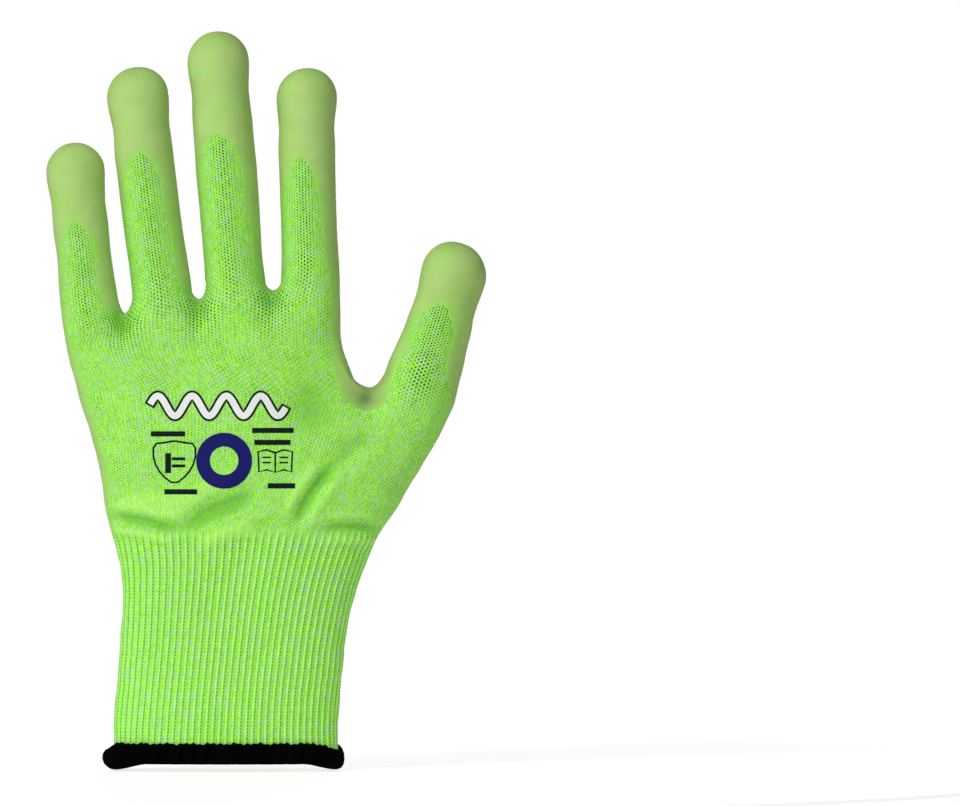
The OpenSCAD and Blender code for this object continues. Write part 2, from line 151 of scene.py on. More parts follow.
def curve(xs, ys, soft=5.0):
    """A smooth function through roughly these points, straight beyond both ends."""
    step = 0.5
    half = int(6 * soft)
    grid = np.arange(xs[0] - 30, xs[-1] + 30, step)
    wider = grid[0] + step * np.arange(-half, len(grid) + half)
    slopes = np.diff(ys) / np.diff(xs)
    values = np.interp(wider, xs, ys)
    values += np.minimum(wider - xs[0], 0) * slopes[0]
    values += np.maximum(wider - xs[-1], 0) * slopes[-1]
    kernel = bell(step * np.arange(-half, half + 1), 0, soft)
    smooth = np.convolve(values, kernel / kernel.sum(), "valid")
    return lambda x: np.interp(x, grid, smooth)


left_edge = curve(EDGE_Z, LEFT_X)
right_edge = curve(EDGE_Z, RIGHT_X)
half_depth = curve(EDGE_Z, HALF_DEPTH)
mound_edge = curve(MOUND_Z, MOUND_X, 3.0)
top_height = curve(TOP_X, TOP_Z)
shoulder = curve(SHOULDER_Z, SHOULDER_X, 1.6)


def superellipse(u, power=SECTION_POWER):
    return (1 - np.clip(np.abs(u), 0, 1) ** power) ** (1 / power)


def lengths(line):
    """Each point's share of the line's length."""
    step = np.linalg.norm(np.diff(line, axis=0), axis=1)
    total = np.concatenate([[0], np.cumsum(step)])
    return total / total[-1]


# The rings of the shell


class Shell:
    """Points and faces of the whole glove, with a stitch coordinate at each face corner."""

    def __init__(self):
        self.points = []
        self.faces = []
        self.names = []

    def add(self, points):
        first = len(self.points)
        self.points.extend(np.asarray(points, float))
        return np.arange(first, first + len(points))

    def face(self, corners, stitch, part):
        if part not in self.names:
            self.names.append(part)
        self.faces.append((tuple(map(int, corners)), stitch, self.names.index(part)))

    def band(self, low, high, part, row, first_column=0.0):
        """Joins two closed rings of the same count; row is the stitch coordinate of the lower one."""
        for i in range(len(low)):
            j = (i + 1) % len(low)
            u = first_column + i
            stitch = ((u, row), (u + 1, row), (u + 1, row + 2), (u, row + 2))
            self.face((low[i], low[j], high[j], high[i]), stitch, part)

    def cap(self, ring, tip, part, row, first_column):
        for i in range(len(ring)):
            u = first_column + i
            stitch = ((u, row), (u + 1, row), (u + 0.5, row + 2))
            self.face((ring[i], ring[(i + 1) % len(ring)], tip), stitch, part)


def section_ring(left, right, depth, height, spread):
    """A section's closed ring, back first; spread says how its points share out each half."""
    turn = np.linspace(math.pi, 0, SECTION_SAMPLES)
    x = (left + right) / 2 + (right - left) / 2 * np.cos(turn)
    halves = []
    for half, side in enumerate((-1, 1)):
        y = side * depth(x, side)
        y[0] = y[-1] = 0
        line = np.stack([x, y, height(x)], 1)
        along = lengths(line)
        shares = spread(half, x, along)
        halves.append(np.stack([np.interp(shares, along, line[:, k]) for k in range(3)], 1))
    back, palm = halves
    return np.concatenate([back[:-1], palm[:0:-1]])


def low_ring(z):
    """Ring of the cuff or the lower hand, whose height at the little finger's edge is z."""
    rise = max(0.0, (z - WRIST_Z) / (CROTCH_LEFT_Z - WRIST_Z))
    left = left_edge(z)
    junction_z = mix(WRIST_Z, CROTCH[1], rise) if rise > 0 else z
    right_z = mix(WRIST_Z, THUMB_RIGHT_Z, rise) if rise > 0 else z
    palm_right = right_edge(junction_z) + 2.4 * ease(rise)
    mound_right = mix(right_edge(z), mound_edge(right_z), ease(z, *MOUND_BLEND))
    right = max(palm_right, mound_right) if rise < 0.5 else mound_right
    palm_right = mix(right, palm_right, float(ease(rise, 0.1, 0.75)))
    junction_x = mix(*JUNCTION_X, rise)
    mound_half = mix(*MOUND_HALF, rise)
    mound_mid = right - mound_half + 0.6
    mound_deep = mix(*MOUND_DEPTH, rise)

    def depth(x, side):
        palm = half_depth(z) * superellipse((x - (left + palm_right) / 2) / ((palm_right - left) / 2))
        if z <= MOUND_BLEND[0]:
            return palm
        extra = 1.0 + 0.14 * (side > 0) * math.sin(math.pi * min(1.0, rise * 1.1))
        lobe = mound_deep * extra * superellipse((x - mound_mid) / mound_half, 2.2) * ease(z, 80, 100)
        return (palm ** 7 + lobe ** 7) ** (1 / 7)

    def height(x):
        return np.interp(x, (left, junction_x, right), (z, junction_z, right_z))

    def spread(half, x, along):
        columns = np.arange(LOW // 2 + 1)
        there = np.interp(columns, (0, BACK_END, LOW // 2), (0, np.interp(junction_x, x, along), 1))
        return mix(columns / (LOW / 2), there, ease(rise, 0.1, 1.0))

    return section_ring(left, right, depth, height, spread)


def web_depth(x):
    """Half depth of the hand's top edge: full at each finger, thin at each web."""
    edges = [TOP_SPAN[0]] + [web_x for web_x, _ in WEBS] + [TOP_SPAN[1]]
    total = np.zeros_like(x)
    for k, name in enumerate(FINGERS):
        middle = stall_axes[name].origin[0]
        deep = STALLS[name]["half_d"][0] + 0.2
        side = (x - middle) / np.where(x < middle, middle - edges[k], edges[k + 1] - middle)
        outer = (k == 0) & (x < middle) | (k == 3) & (x > middle)
        shape = np.where(outer, superellipse(side, 2.2), superellipse(side / 1.108, 2.4))
        total = np.maximum(total, deep * shape)
    return total


def high_ring(rise, bottom):
    """Ring of the upper hand: rise 0 at the thumb's crotch, 1 at the finger roots."""
    left = left_edge(mix(CROTCH_LEFT_Z, TOP_Z[0], rise))
    right = shoulder(mix(SHOULDER_Z[0], TOP_Z[-1], rise))
    deep = half_depth(mix(CROTCH_RIGHT_Z, 160.0, rise))
    web = ease(rise, 0.5, 1.0)

    def depth(x, side):
        palm = deep * superellipse((x - (left + right) / 2) / ((right - left) / 2))
        return mix(palm, np.minimum(web_depth(x), palm + 3), web)

    def height(x):
        return mix(np.interp(x, (-52, 52), (CROTCH_LEFT_Z, CROTCH_RIGHT_Z)), top_height(x), rise)

    def spread(half, x, along):
        marks = [0, HALF_SIDE] + [HALF_SIDE + ARC * k for k in (1, 2, 3, 4)] + [HIGH // 2]
        places = [CORNERS[0]] + [web_x for web_x, _ in WEBS] + [CORNERS[1]]
        stops = [0] + [np.interp(p, x, along) for p in places] + [1]
        there = np.interp(np.arange(HIGH // 2 + 1), marks, stops)
        return mix(bottom[half], there, ease(rise))

    return section_ring(left, right, depth, height, spread)


def chain(start, end, rise, out=0.0):
    """Points between the back and the palm junction of a crotch, over a rounded saddle."""
    steps = np.linspace(0, 1, SIDE + 1)[1:-1, None]
    line = mix(np.asarray(start), np.asarray(end), steps)
    hump = 1 - (2 * steps - 1) ** 2
    return line + hump * (out, 0.0, rise)


class Stall:
    """A stall's own axes, from its first and last hinge: x across, y out of the palm, h along it."""

    def __init__(self, name):
        hinges = [j for j in frame["joints"] if j["child"].startswith(name + "_")]
        hinges.sort(key=lambda j: j["pos_m"][2])
        places = [np.array(j["pos_m"]) / MM for j in hinges]
        span = places[-1] - places[0]
        self.spec = STALLS[name]
        self.along = span / np.linalg.norm(span)
        self.out = np.array([0.0, 1.0, 0.0])
        self.across = np.cross(self.out, self.along)
        self.origin = places[0] - self.spec["knuckle"] * self.along - HINGE_Y * self.out
        self.hinges = [float((p - self.origin) @ self.along) for p in places]
        self.straight = self.spec["length"] - self.spec["half_w"][2]

    def local(self, points):
        d = np.asarray(points) - self.origin
        return np.stack([d @ self.across, d @ self.out, d @ self.along], -1)

    def world(self, local):
        x, y, h = np.asarray(local).T[:, :, None]
        return self.origin + x * self.across + y * self.out + h * self.along

    def sizes(self, h):
        """Half width and half depth at h, with a slight neck under the tip."""
        t = np.clip(h / self.straight, 0, 1)
        first, last = ease(t, 0, 0.5), ease(t, 0.5, 1)
        ends = (self.spec["half_w"], self.spec["half_d"])
        wide, deep = (low + (middle - low) * first + (high - middle) * last for low, middle, high in ends)
        bulb = BULB * bell(h, self.straight, 6.0) - NECK * bell(h, self.straight - NECK_DROP, 5.0)
        return wide + bulb, deep

    def middle(self, h):
        """How far the stall's middle line bows sideways and towards the palm at h."""
        t = np.clip(h / self.spec["length"], 0, 1)
        return self.spec["bow"] * 4 * t * (1 - t), CURL * t ** 2


stall_axes = {name: Stall(name) for name in STALLS}

ROOT_ROWS = 5
ROOT_TOP = 12.0
DOME_LIFTS = (12, 24, 36, 48, 59, 69, 78)


def add_stall(shell, name, base, row, first_column):
    """Grows a stall from its base ring, split into pieces between its bending zones."""
    axes = stall_axes[name]
    n = len(base)
    arc_columns = (n - 2 * SIDE) // 2
    angle = np.radians(-90 - 180 * arc_columns / n + 360 / n * np.arange(n))

    def ring_at(h, narrow=1.0):
        wide, deep = axes.sizes(h)
        mid_x, mid_y = axes.middle(h)
        x = mid_x + wide * np.cos(angle) * narrow
        return np.stack([x, mid_y + deep * np.sin(angle) * narrow, h + 0 * angle], 1)

    rings = [(-1.0, base)]
    low = axes.local(np.array([shell.points[i] for i in base]))
    for k in range(1, ROOT_ROWS + 1):
        t = k / ROOT_ROWS
        h = mix(low[:, 2], ROOT_TOP, t)
        local = mix(low, ring_at(h), 1 - (1 - t) ** 3.6)
        local[:, 2] = h
        rings.append((mix(1.0, ROOT_TOP, t), shell.add(axes.world(local))))
    count = int(round((axes.straight - ROOT_TOP) / ROW_STEP))
    levels = [(h, 1.0) for h in np.linspace(ROOT_TOP, axes.straight, count + 1)[1:]]
    dome = axes.spec["half_w"][2]
    levels += [(axes.straight + dome * math.sin(t), math.cos(t) ** 0.92) for t in np.radians(DOME_LIFTS)]
    for h, narrow in levels:
        rings.append((h, shell.add(axes.world(ring_at(np.full(n, h), narrow)))))

    cuts = [(a + b) / 2 for a, b in zip(axes.hinges, axes.hinges[1:])]
    links = ["root", "middle", "end"] if len(cuts) == 2 else ["root", "end"]
    for (low_h, lower), (high_h, upper) in zip(rings, rings[1:]):
        link = links[sum((low_h + high_h) / 2 > c for c in cuts)]
        shell.band(lower, upper, f"{name}_{link}", row, first_column)
        row += 2
    top = axes.spec["length"]
    tip = shell.add(axes.world([[*axes.middle(top), top]]))[0]
    shell.cap(upper, tip, f"{name}_end", row, first_column)


# The whole surface


LOW_EDGE = 2.5
WRIST_BLEND = (77.0, 95.0)
HIGH_ROWS = 12
BEND_HALF = 6.6
ROOT_BLEND_START = 1.6


def build_shell():
    """The glove as one surface of quads, each row of which belongs to a piece."""
    shell = Shell()
    count = int(round((CROTCH_LEFT_Z - LOW_EDGE) / ROW_STEP))
    heights = np.linspace(LOW_EDGE, CROTCH_LEFT_Z, count + 1)
    rings = [shell.add(low_ring(z)) for z in heights]
    for k in range(count):
        lowest = min(shell.points[i][2] for i in rings[k])
        upper = "hand" if lowest >= WRIST_BLEND[1] else "wrist"
        shell.band(rings[k], rings[k + 1], "cuff" if heights[k + 1] <= WRIST_BLEND[0] else upper, 2 * k)
    row = 2 * count

    top = rings[-1]
    saddle = shell.add(chain(shell.points[top[BACK_END]], shell.points[top[LOW - BACK_END]], 1.6, -0.6))
    ring = np.concatenate([top[:BACK_END + 1], saddle, top[LOW - BACK_END:]])
    start = np.array([shell.points[i] for i in ring])
    half = HIGH // 2
    bottom = (lengths(start[:half + 1]), lengths(start[np.r_[0, HIGH - 1:half - 1:-1]]))
    rest = start - high_ring(0.0, bottom)
    for k in range(1, HIGH_ROWS + 1):
        rise = k / HIGH_ROWS
        new = shell.add(high_ring(rise, bottom) + rest * (1 - ease(rise, 0, 0.5)))
        shell.band(ring, new, "hand", row)
        ring = new
        row += 2

    webs = []
    for k, (_, z) in enumerate(WEBS):
        j = HALF_SIDE + ARC * (k + 1)
        back, palm = shell.points[ring[j]], shell.points[ring[HIGH - j]]
        webs.append(shell.add(chain(back, palm, z - (back[2] + palm[2]) / 2)))
    for k, name in enumerate(FINGERS):
        j = HALF_SIDE + ARC * k
        right = webs[k] if k < 3 else ring[j + ARC + 1:HIGH - j - ARC]
        left = webs[k - 1][::-1] if k > 0 else ring[np.r_[HIGH - j + 1:HIGH, 0:j]]
        base = np.concatenate([ring[j:j + ARC + 1], right, ring[HIGH - j - ARC:HIGH - j + 1], left])
        add_stall(shell, name, base, row, j)
    base = np.concatenate([top[BACK_END:LOW - BACK_END + 1], saddle[::-1]])
    add_stall(shell, "thumb", base, 2 * count, BACK_END)
    return shell


def soft_weight(points):
    """How much each point is evened out: fully at the webs and round the thumb's root."""
    spots = [(x, z, 9.0, 12.0) for x, z in WEBS]
    spots += [(x, z, 13.0, 14.0) for x, z in (CROTCH, (80.0, 130.0), (58.0, 90.0))]
    weight = np.zeros(len(points))
    for x, z, wide, high in spots:
        d = np.hypot((points[:, 0] - x) / wide, (points[:, 2] - z) / high)
        weight = np.maximum(weight, 1 - ease(d, 0.5, 1.2))
    return weight


def read(items, kind, width=1, dtype=float):
    """One property of all of a mesh's items as an array."""
    values = np.empty(len(items) * width, dtype)
    items.foreach_get(kind, values)
    return values.reshape(-1, width) if width > 1 else values


class Surface:
    """A mesh as arrays: points, normals, faces, the piece and the stitch coordinates of each."""

    def __init__(self, mesh):
        self.mesh = mesh
        self.points = read(mesh.vertices, "co", 3)
        self.corners = read(mesh.loops, "vertex_index", dtype=int)
        self.start = read(mesh.polygons, "loop_start", dtype=int)
        self.total = read(mesh.polygons, "loop_total", dtype=int)
        self.part = read(mesh.polygons, "material_index", dtype=int)
        self.uv = read(mesh.uv_layers["knit"].data, "uv", 2)
        self.stitch = np.zeros((len(self.points), 2))
        self.stitch[self.corners] = self.uv
        self.normals = read(mesh.vertex_normals, "vector", 3)

    def move(self, points):
        self.points = points
        self.mesh.vertices.foreach_set("co", points.ravel())
        self.mesh.update()
        self.normals = read(self.mesh.vertex_normals, "vector", 3)

    def face_corners(self, faces, turned=False):
        """Corner numbers of the chosen faces, in order, or in reverse within each face."""
        ranges = [np.arange(s, s + t) for s, t in zip(self.start[faces], self.total[faces])]
        return np.concatenate([r[::-1] for r in ranges] if turned else ranges)


def evaluate(shell, levels):
    """The shell's mesh, evened out at its crotches and subdivided."""
    faces, stitch, parts = zip(*shell.faces)
    mesh = bpy.data.meshes.new("shell")
    mesh.from_pydata([tuple(p) for p in shell.points], [], faces)
    uv = np.concatenate([np.asarray(corner, float) for corner in stitch])
    mesh.uv_layers.new(name="knit").data.foreach_set("uv", uv.ravel())
    for name in shell.names:
        mesh.materials.append(bpy.data.materials.get(name) or bpy.data.materials.new(name))
    mesh.polygons.foreach_set("material_index", parts)
    mesh.polygons.foreach_set("use_smooth", [True] * len(faces))
    piece = bpy.data.objects.new("shell", mesh)
    bpy.context.scene.collection.objects.link(piece)
    group = piece.vertex_groups.new(name="even")
    for i, weight in enumerate(soft_weight(np.array(shell.points))):
        if weight > 0.01:
            group.add([i], float(weight), "REPLACE")
    even = piece.modifiers.new("even", "SMOOTH")
    even.factor = 0.5
    even.iterations = 5
    even.vertex_group = "even"
    if levels:
        finer = piece.modifiers.new("finer", "SUBSURF")
        finer.levels = levels
        finer.boundary_smooth = "PRESERVE_CORNERS"
    depsgraph = bpy.context.evaluated_depsgraph_get()
    result = bpy.data.meshes.new_from_object(piece.evaluated_get(depsgraph))
    bpy.data.objects.remove(piece)
    return Surface(result)


# Ribs, folds and the coat's edge


RIB_DEPTH = 0.38
RIB_FADE = (80.0, 87.0)
COAT_OUT = 0.42
COAT_THIN = 0.1
COAT_UNDER = -0.35
COAT_EDGE = -1.3
WEB_COAT = 5.5
WEB_REACH = (4.5, 5.8)
LINING_IN = 1.25
LINING_TUCK = 0.8
# Slack of the cloth: height, grain and seed
SLACK = ((0.7, 26.0, 1), (0.22, 8.0, 2))
BARE_BACK = (
    (-75, 58), (-46, 84), (-40.8, 93), (-40, 103), (-43.2, 113), (-46.4, 125), (-49.8, 137), (-53.4, 148),
    (-56, 160), (-56, 205), (38, 205), (36.4, 168), (36.3, 155), (37.1, 146), (38.8, 135), (43.5, 128),
    (51, 125), (56.5, 128.5), (59, 137), (62, 145), (80, 145), (78, 127), (70, 110), (66, 97), (95, 58),
)
BARE_POINT = 14.0
PALM_EDGE_X = (-46, -37, -24, -9, 17, 35, 46, 58)
PALM_EDGE_Z = (73, 63.5, 61.2, 60.3, 60.8, 64, 70.5, 84)


def corner_cut(outline, times=2):
    """The closed outline with its corners cut, which rounds it."""
    points = np.asarray(outline, float)
    for _ in range(times):
        following = np.roll(points, -1, 0)
        points = np.stack([0.75 * points + 0.25 * following, 0.25 * points + 0.75 * following], 1)
        points = points.reshape(-1, 2)
    return points


def inside_distance(x, z, outline):
    """Distance to a closed outline, positive inside it."""
    best = np.full(x.shape, 1e9)
    inside = np.zeros(x.shape, bool)
    for (ax, az), (bx, bz) in zip(outline, np.roll(outline, -1, 0)):
        ex, ez = bx - ax, bz - az
        t = np.clip(((x - ax) * ex + (z - az) * ez) / (ex * ex + ez * ez), 0, 1)
        best = np.minimum(best, np.hypot(x - ax - t * ex, z - az - t * ez))
        if az != bz:
            crosses = (az > z) != (bz > z)
            inside ^= crosses & (x < ax + (z - az) / (bz - az) * ex)
    return np.where(inside, best, -best)


def waves(points, size, seed):
    """Smooth noise from -1 to 1 at each point; size is its grain in millimetres."""
    shift = Vector((seed * 13.7, seed * 5.1, seed * 9.3))
    return np.array([noise.fractal(Vector(p) + shift, 1.0, 2.0, 2) for p in points / size])


bare_outline = corner_cut(BARE_BACK)
palm_edge = curve(PALM_EDGE_X, PALM_EDGE_Z, 3.0)


def per_stitch(stitch):
    """A number from -1 to 1 for each stitch, eased between neighbours."""
    size = 64
    table = np.random.default_rng(7).uniform(-1, 1, (size, size))
    cell = np.floor(stitch)
    share_u, share_v = ease(stitch - cell).T
    i, j = cell.astype(int).T
    rows = [mix(table[i % size, k % size], table[(i + 1) % size, k % size], share_u) for k in (j, j + 1)]
    return mix(*rows, share_v)


def stretch_field(points):
    """How far the knit is pulled open, which sets how dark its holes are painted as shade: along the
    stalls' backs and most of all at the webs.
    """
    stretch = np.zeros(len(points))
    x, _, z = points.T
    for web_x, web_z in WEBS:
        wide = np.hypot((x - web_x) / 9.0, (z - web_z + 4) / 11.0)
        near = np.hypot((x - web_x + 0.6) / 4.2, (z - web_z + 1.2) / 3.4)
        stretch = np.maximum(stretch, np.exp(-wide ** 2)) + 1.3 * np.exp(-near ** 2)
    for name, axes in stall_axes.items():
        local_x, _, h = axes.local(points).T
        shift, top = axes.spec["bare"][1:3]
        wide, pull = (6.4, 1.15) if name == "thumb" else (4.2, 0.95)
        ridge = bell(local_x - shift, 0.6, wide) * ease(h, -16, 6)
        stretch = np.maximum(stretch, pull * ridge * (h < top + 5))
    return stretch


def coat_field(points, stitch):
    """How far, roughly in millimetres, each point lies inside the dipped area."""
    x, y, z = points.T
    around = 6.0 * np.maximum(0, y + 0.5)
    bare = -inside_distance(x, z, bare_outline) + around
    nearest = np.full(len(points), 1e9)
    field = bare
    for name, axes in stall_axes.items():
        local_x, _, h = axes.local(points).T
        half, shift, top, grow_left, grow_right = axes.spec["bare"]
        x_here = local_x - shift
        narrow = np.clip((h - (top - BARE_POINT)) / BARE_POINT, 0, 1)
        edge = half * (1 - narrow ** 2) ** 0.62 * (1 + 0.06 * np.sin(h * 0.31 + half))
        edge = edge + np.maximum(0, top - BARE_POINT - h) * np.where(x_here < 0, grow_left, grow_right)
        stall = np.maximum(np.abs(x_here) - edge, h - top) + around
        if name == "thumb":
            field = mix(field, stall, ease(h, -3, 9) * (x > 46))
        else:
            off = np.abs(local_x)
            near = (off < np.minimum(nearest, 17)) & (h > -4) & (x < 46)
            field = np.where(near, mix(bare, stall, ease(h, -2, 7)), field)
            nearest = np.where(h > -4, np.minimum(nearest, off), nearest)
    for web_x, web_z in WEBS:
        close = WEB_COAT - np.hypot(x - web_x, z - web_z)
        field = np.maximum(field, np.minimum(close, y + WEB_REACH[web_x > 0]))
    loop = per_stitch(stitch)
    low = z - palm_edge(x) + 0.5 * np.cos(math.pi * stitch[:, 0]) + 0.5 * loop
    return np.minimum(field + 0.75 * loop, low)


# Shaded places of the coat at the crotches: x, z, width, height and darkness
DARK_SPOTS = ((48.5, 131, 7.5, 6, 0.45), (49.2, 130.4, 2.6, 2.4, 0.45),
              *((x, z - 2, 5, 4, 0.5) for x, z in WEBS))
# Folds: start, end, width and depth
BACK_FOLDS = (
    ((-38.5, 88.6), (-17, 85.2), 1.9, 1.7),
    ((-13, 86), (9, 97), 3.6, 1.7),
    ((25.5, 88.5), (36, 106), 2.1, 1.9),
    ((34, 84.6), (54, 85.2), 2.0, 1.3),
    ((8, 87), (17, 85), 1.8, 0.6),
    ((38, 106), (52, 121), 3.2, 0.9),
    ((-40, 98), (-27, 100), 2.4, 0.4),
)
PALM_FOLDS = (
    ((-36, 80), (-14, 83), 1.8, 0.4),
    ((20, 84), (44, 90), 1.8, 0.45),
    ((26, 97), (46, 122), 2.4, 0.5),
)
FOLD_FADE = 6.0
# Hollows at the thumb's crotch and beside the wider webs: x, z, size and depth
HOLLOWS = ((46.2, 137.6, 4.2, 1.5), (55.0, 139.0, 5.0, 1.1),
           *((x + side * 3.4, z + 3.2, 3.2, 0.6) for x, z in WEBS[1:] for side in (-1, 1)))


def fold(points, start, end, width, depth):
    """A straight fold pressed in between two places on the back or palm, fading at its ends."""
    a, b = np.asarray(start, float), np.asarray(end, float)
    total = np.linalg.norm(b - a)
    along = (b - a) / total
    flat = points[:, [0, 2]] - a
    t = flat @ along
    off = flat @ np.array([-along[1], along[0]])
    window = ease(t, -FOLD_FADE, FOLD_FADE) * (1 - ease(t, total - FOLD_FADE, total + FOLD_FADE))
    across = (off - 0.5 * np.sin(t * 0.22)) / width
    return -depth * window * (bell(across, 0, 1) - 0.45 * bell(np.abs(across), 2.2, 1))


def hollows(points, normals):
    """Rounds out the bottom of the thumb's crotch and of the wider webs."""
    total = np.zeros(len(points))
    edge = ease(1 - np.abs(normals[:, 1]), 0.15, 0.6)
    for x, z, size, depth in HOLLOWS:
        total -= depth * edge * bell(np.hypot(points[:, 0] - x, points[:, 2] - z), 0, size)
    return total


def shape_surface(surface):
    """Adds ribs, folds and the slack of worn cloth to the surface, and keeps the painted shade and
    highlight of the folds for the knit's colour.
    """
    points, normals = surface.points, surface.normals
    x, y, z = points.T
    rib = 0.5 - 0.5 * np.cos(math.pi * surface.stitch[:, 0])
    ribs = -RIB_DEPTH * (1 - rib) ** 2.2 * (1 - ease(z, *RIB_FADE))
    back = ease(-y, 0.5, 5.0)
    palm = ease(y, 0.5, 5.0)
    folds = np.zeros(len(points))
    for side, places in ((back, BACK_FOLDS), (palm, PALM_FOLDS)):
        for place in places:
            folds += side * fold(points, *place)
    folds += 0.8 * bell(z, 94.0, 4.5) * back * ease(x, -42, -30) * (1 - ease(x, -14, -4))
    folds -= 1.1 * back * bell(x, 30, 9) * bell(z, 128, 12)
    # Painted shade for the knit's colour: positive in the folds' grooves and at the webs, negative as
    # painted highlight on the folds' ridges.
    surface.crease = -folds
    surface.tuck = np.abs(folds)
    # More painted shade on the back at the bottom of each web.
    for web_x, web_z in WEBS:
        surface.crease += 1.5 * back * bell(x, web_x - 0.4, 4.5) * bell(z, web_z - 1.5, 4.2)
    slack = 1 - 0.6 * ease(z, 150, 175)
    offset = ribs + hollows(points, normals) + folds
    offset = offset + slack * sum(height * waves(points, size, seed) for height, size, seed in SLACK)
    surface.move(points + normals * offset[:, None])


# Pieces


def make_mesh(name, points, corners, totals, uv, normals=None, **values):
    """A mesh from arrays in millimetres, with its unused points left out; values are its attributes."""
    used, index = np.unique(corners, return_inverse=True)
    mesh = bpy.data.meshes.new(name)
    mesh.vertices.add(len(used))
    mesh.vertices.foreach_set("co", (points[used] * MM).ravel())
    mesh.loops.add(len(index))
    mesh.loops.foreach_set("vertex_index", index)
    mesh.polygons.add(len(totals))
    mesh.polygons.foreach_set("loop_start", np.concatenate([[0], np.cumsum(totals)[:-1]]))
    mesh.polygons.foreach_set("loop_total", totals)
    mesh.polygons.foreach_set("use_smooth", np.ones(len(totals), bool))
    mesh.uv_layers.new(name="knit").data.foreach_set("uv", uv.ravel())
    for kind, value in values.items():
        layer = mesh.attributes.new(kind, "FLOAT", "POINT")
        layer.data.foreach_set("value", value[used].astype(np.float32))
    mesh.update(calc_edges=True)
    mesh.validate()
    if normals is not None:
        mesh.normals_split_custom_set_from_vertices(normals[used].astype(np.float32))
    piece = bpy.data.objects.new(name, mesh)
    bpy.context.scene.collection.objects.link(piece)
    return piece


def knit_piece(name, surface, inner, part, stretch):
    """The outer cloth of one part and, inside it, the same part's lining face."""
    layers = []
    for layer in (surface, inner):
        lining = layer is inner
        faces = np.flatnonzero(layer.part == part)
        order = layer.face_corners(faces, lining)
        points, normals = layer.points, layer.normals
        if lining:
            points = points - normals * (LINING_IN + LINING_TUCK * layer.tuck)[:, None]
            normals = -normals
        corners = layer.corners[order] + lining * len(surface.points)
        layers.append((points, corners, layer.total[faces], layer.uv[order], normals))
    return make_mesh(name, *map(np.concatenate, zip(*layers)),
                     field=np.concatenate([stretch, np.zeros(len(inner.points))]),
                     crease=np.concatenate([surface.crease, inner.crease]))


def coat_shape(surface, field):
    """Points, normals and shade of the dipped skin before it is cut into pieces."""
    lift = mix(COAT_UNDER, COAT_THIN, ease(field, -0.55, 0.35))
    lift = lift + (COAT_OUT - COAT_THIN) * ease(field, 0.4, 6.0)
    cloth = surface.points
    surface.move(cloth + surface.normals * lift[:, None])
    surface.coat = surface.points, surface.normals
    surface.move(cloth)
    x, y, z = surface.coat[0].T
    surface.shade = np.zeros(len(x))
    for spot_x, spot_z, wide, high, dark in DARK_SPOTS:
        surface.shade += dark * bell(x, spot_x, wide) * bell(z, spot_z, high) * ease(-y, -6, 4)


def coat_piece(name, surface, part, field):
    """The dipped skin over one part, whose edge sinks into the cloth."""
    inside = np.maximum.reduceat(field[surface.corners], surface.start) > COAT_EDGE
    faces = np.flatnonzero((surface.part == part) & inside)
    if not len(faces):
        return None
    order = surface.face_corners(faces)
    points, normals = surface.coat
    return make_mesh(name, points, surface.corners[order], surface.total[faces], surface.uv[order], normals,
                     field=field, shade=surface.shade)


# Hem, elastic and prints


HEM_COLUMNS = 640
HEM_Z = 3
TEETH_Z = 6
TEETH = LOW // 2
# Across the hem: share of its height, distance out and lift
HEM_PROFILE = (
    (0.0, -2.9, 0.9), (0.0, -1.2, 0.25), (0.0, 0.3, 0.0), (0.0, 1.25, 0.5), (0.25, 1.62, 0.0),
    (0.5, 1.72, 0.0), (0.75, 1.62, 0.0), (0.93, 1.25, 0.0), (1.0, 0.55, 0.0), (0.97, -0.35, 0.0),
    (0.6, -2.2, 0.0), (0.35, -2.9, 0.0),
)
TOOTH_ROWS = 10
TOOTH_STEP = 1.7
# Bars on the back: middle x, middle z and width
BAR_PLACES = (
    (-20, 118.2, 12), (-15.5, 97.9, 11.5), (16.8, 119.4, 14.5), (16.6, 115.2, 12.6), (19.8, 100, 9.6),
)
BAR_HALF = 0.9
BAR_LIFT = 0.1
PRINT_LIFT = 0.09
WAVE_LIFT = 0.16
WAVE_PEN = 1.15
WAVE_EDGE_PEN = 1.9
RING_WIDTH = 4.8
ELASTIC_Z = (12.5, 18.5, 24.5)
ELASTIC_COLUMNS = 160
ELASTIC_IN = 1.95
ELASTIC_HALF = (0.3, 0.45)


def section_at(z, off, count=HEM_COLUMNS):
    """Points round the cuff at height z, moved out by off."""
    line = low_ring(z)
    closed = np.vstack([line, line[:1]])
    where = np.linspace(0, 1, count, endpoint=False)
    x, y = (np.interp(where, lengths(closed), closed[:, k]) for k in (0, 1))
    tangent = np.stack([np.roll(x, -1) - np.roll(x, 1), np.roll(y, -1) - np.roll(y, 1)], 1)
    tangent /= np.linalg.norm(tangent, axis=1)[:, None]
    return x + tangent[:, 1] * off, y - tangent[:, 0] * off


def ring_mesh(name, rows, rounds, wrap=True, repeat=1.0):
    """A closed band from rows of rings; with wrap, the last row joins the first one."""
    n = len(rows[0])
    row, i = np.divmod(np.arange((len(rows) if wrap else len(rows) - 1) * n), n)
    lower, upper = row * n, (row + 1) % len(rows) * n
    m = (i + 1) % n
    corners = np.stack([lower + i, lower + m, upper + m, upper + i], 1)
    u = np.stack([i, i + 1, i + 1, i], 1) / n * rounds
    v = np.stack([row, row, row + 1, row + 1], 1) * repeat
    return make_mesh(name, np.concatenate(rows), corners.ravel(), np.full(len(row), 4), np.stack([u, v], 2))


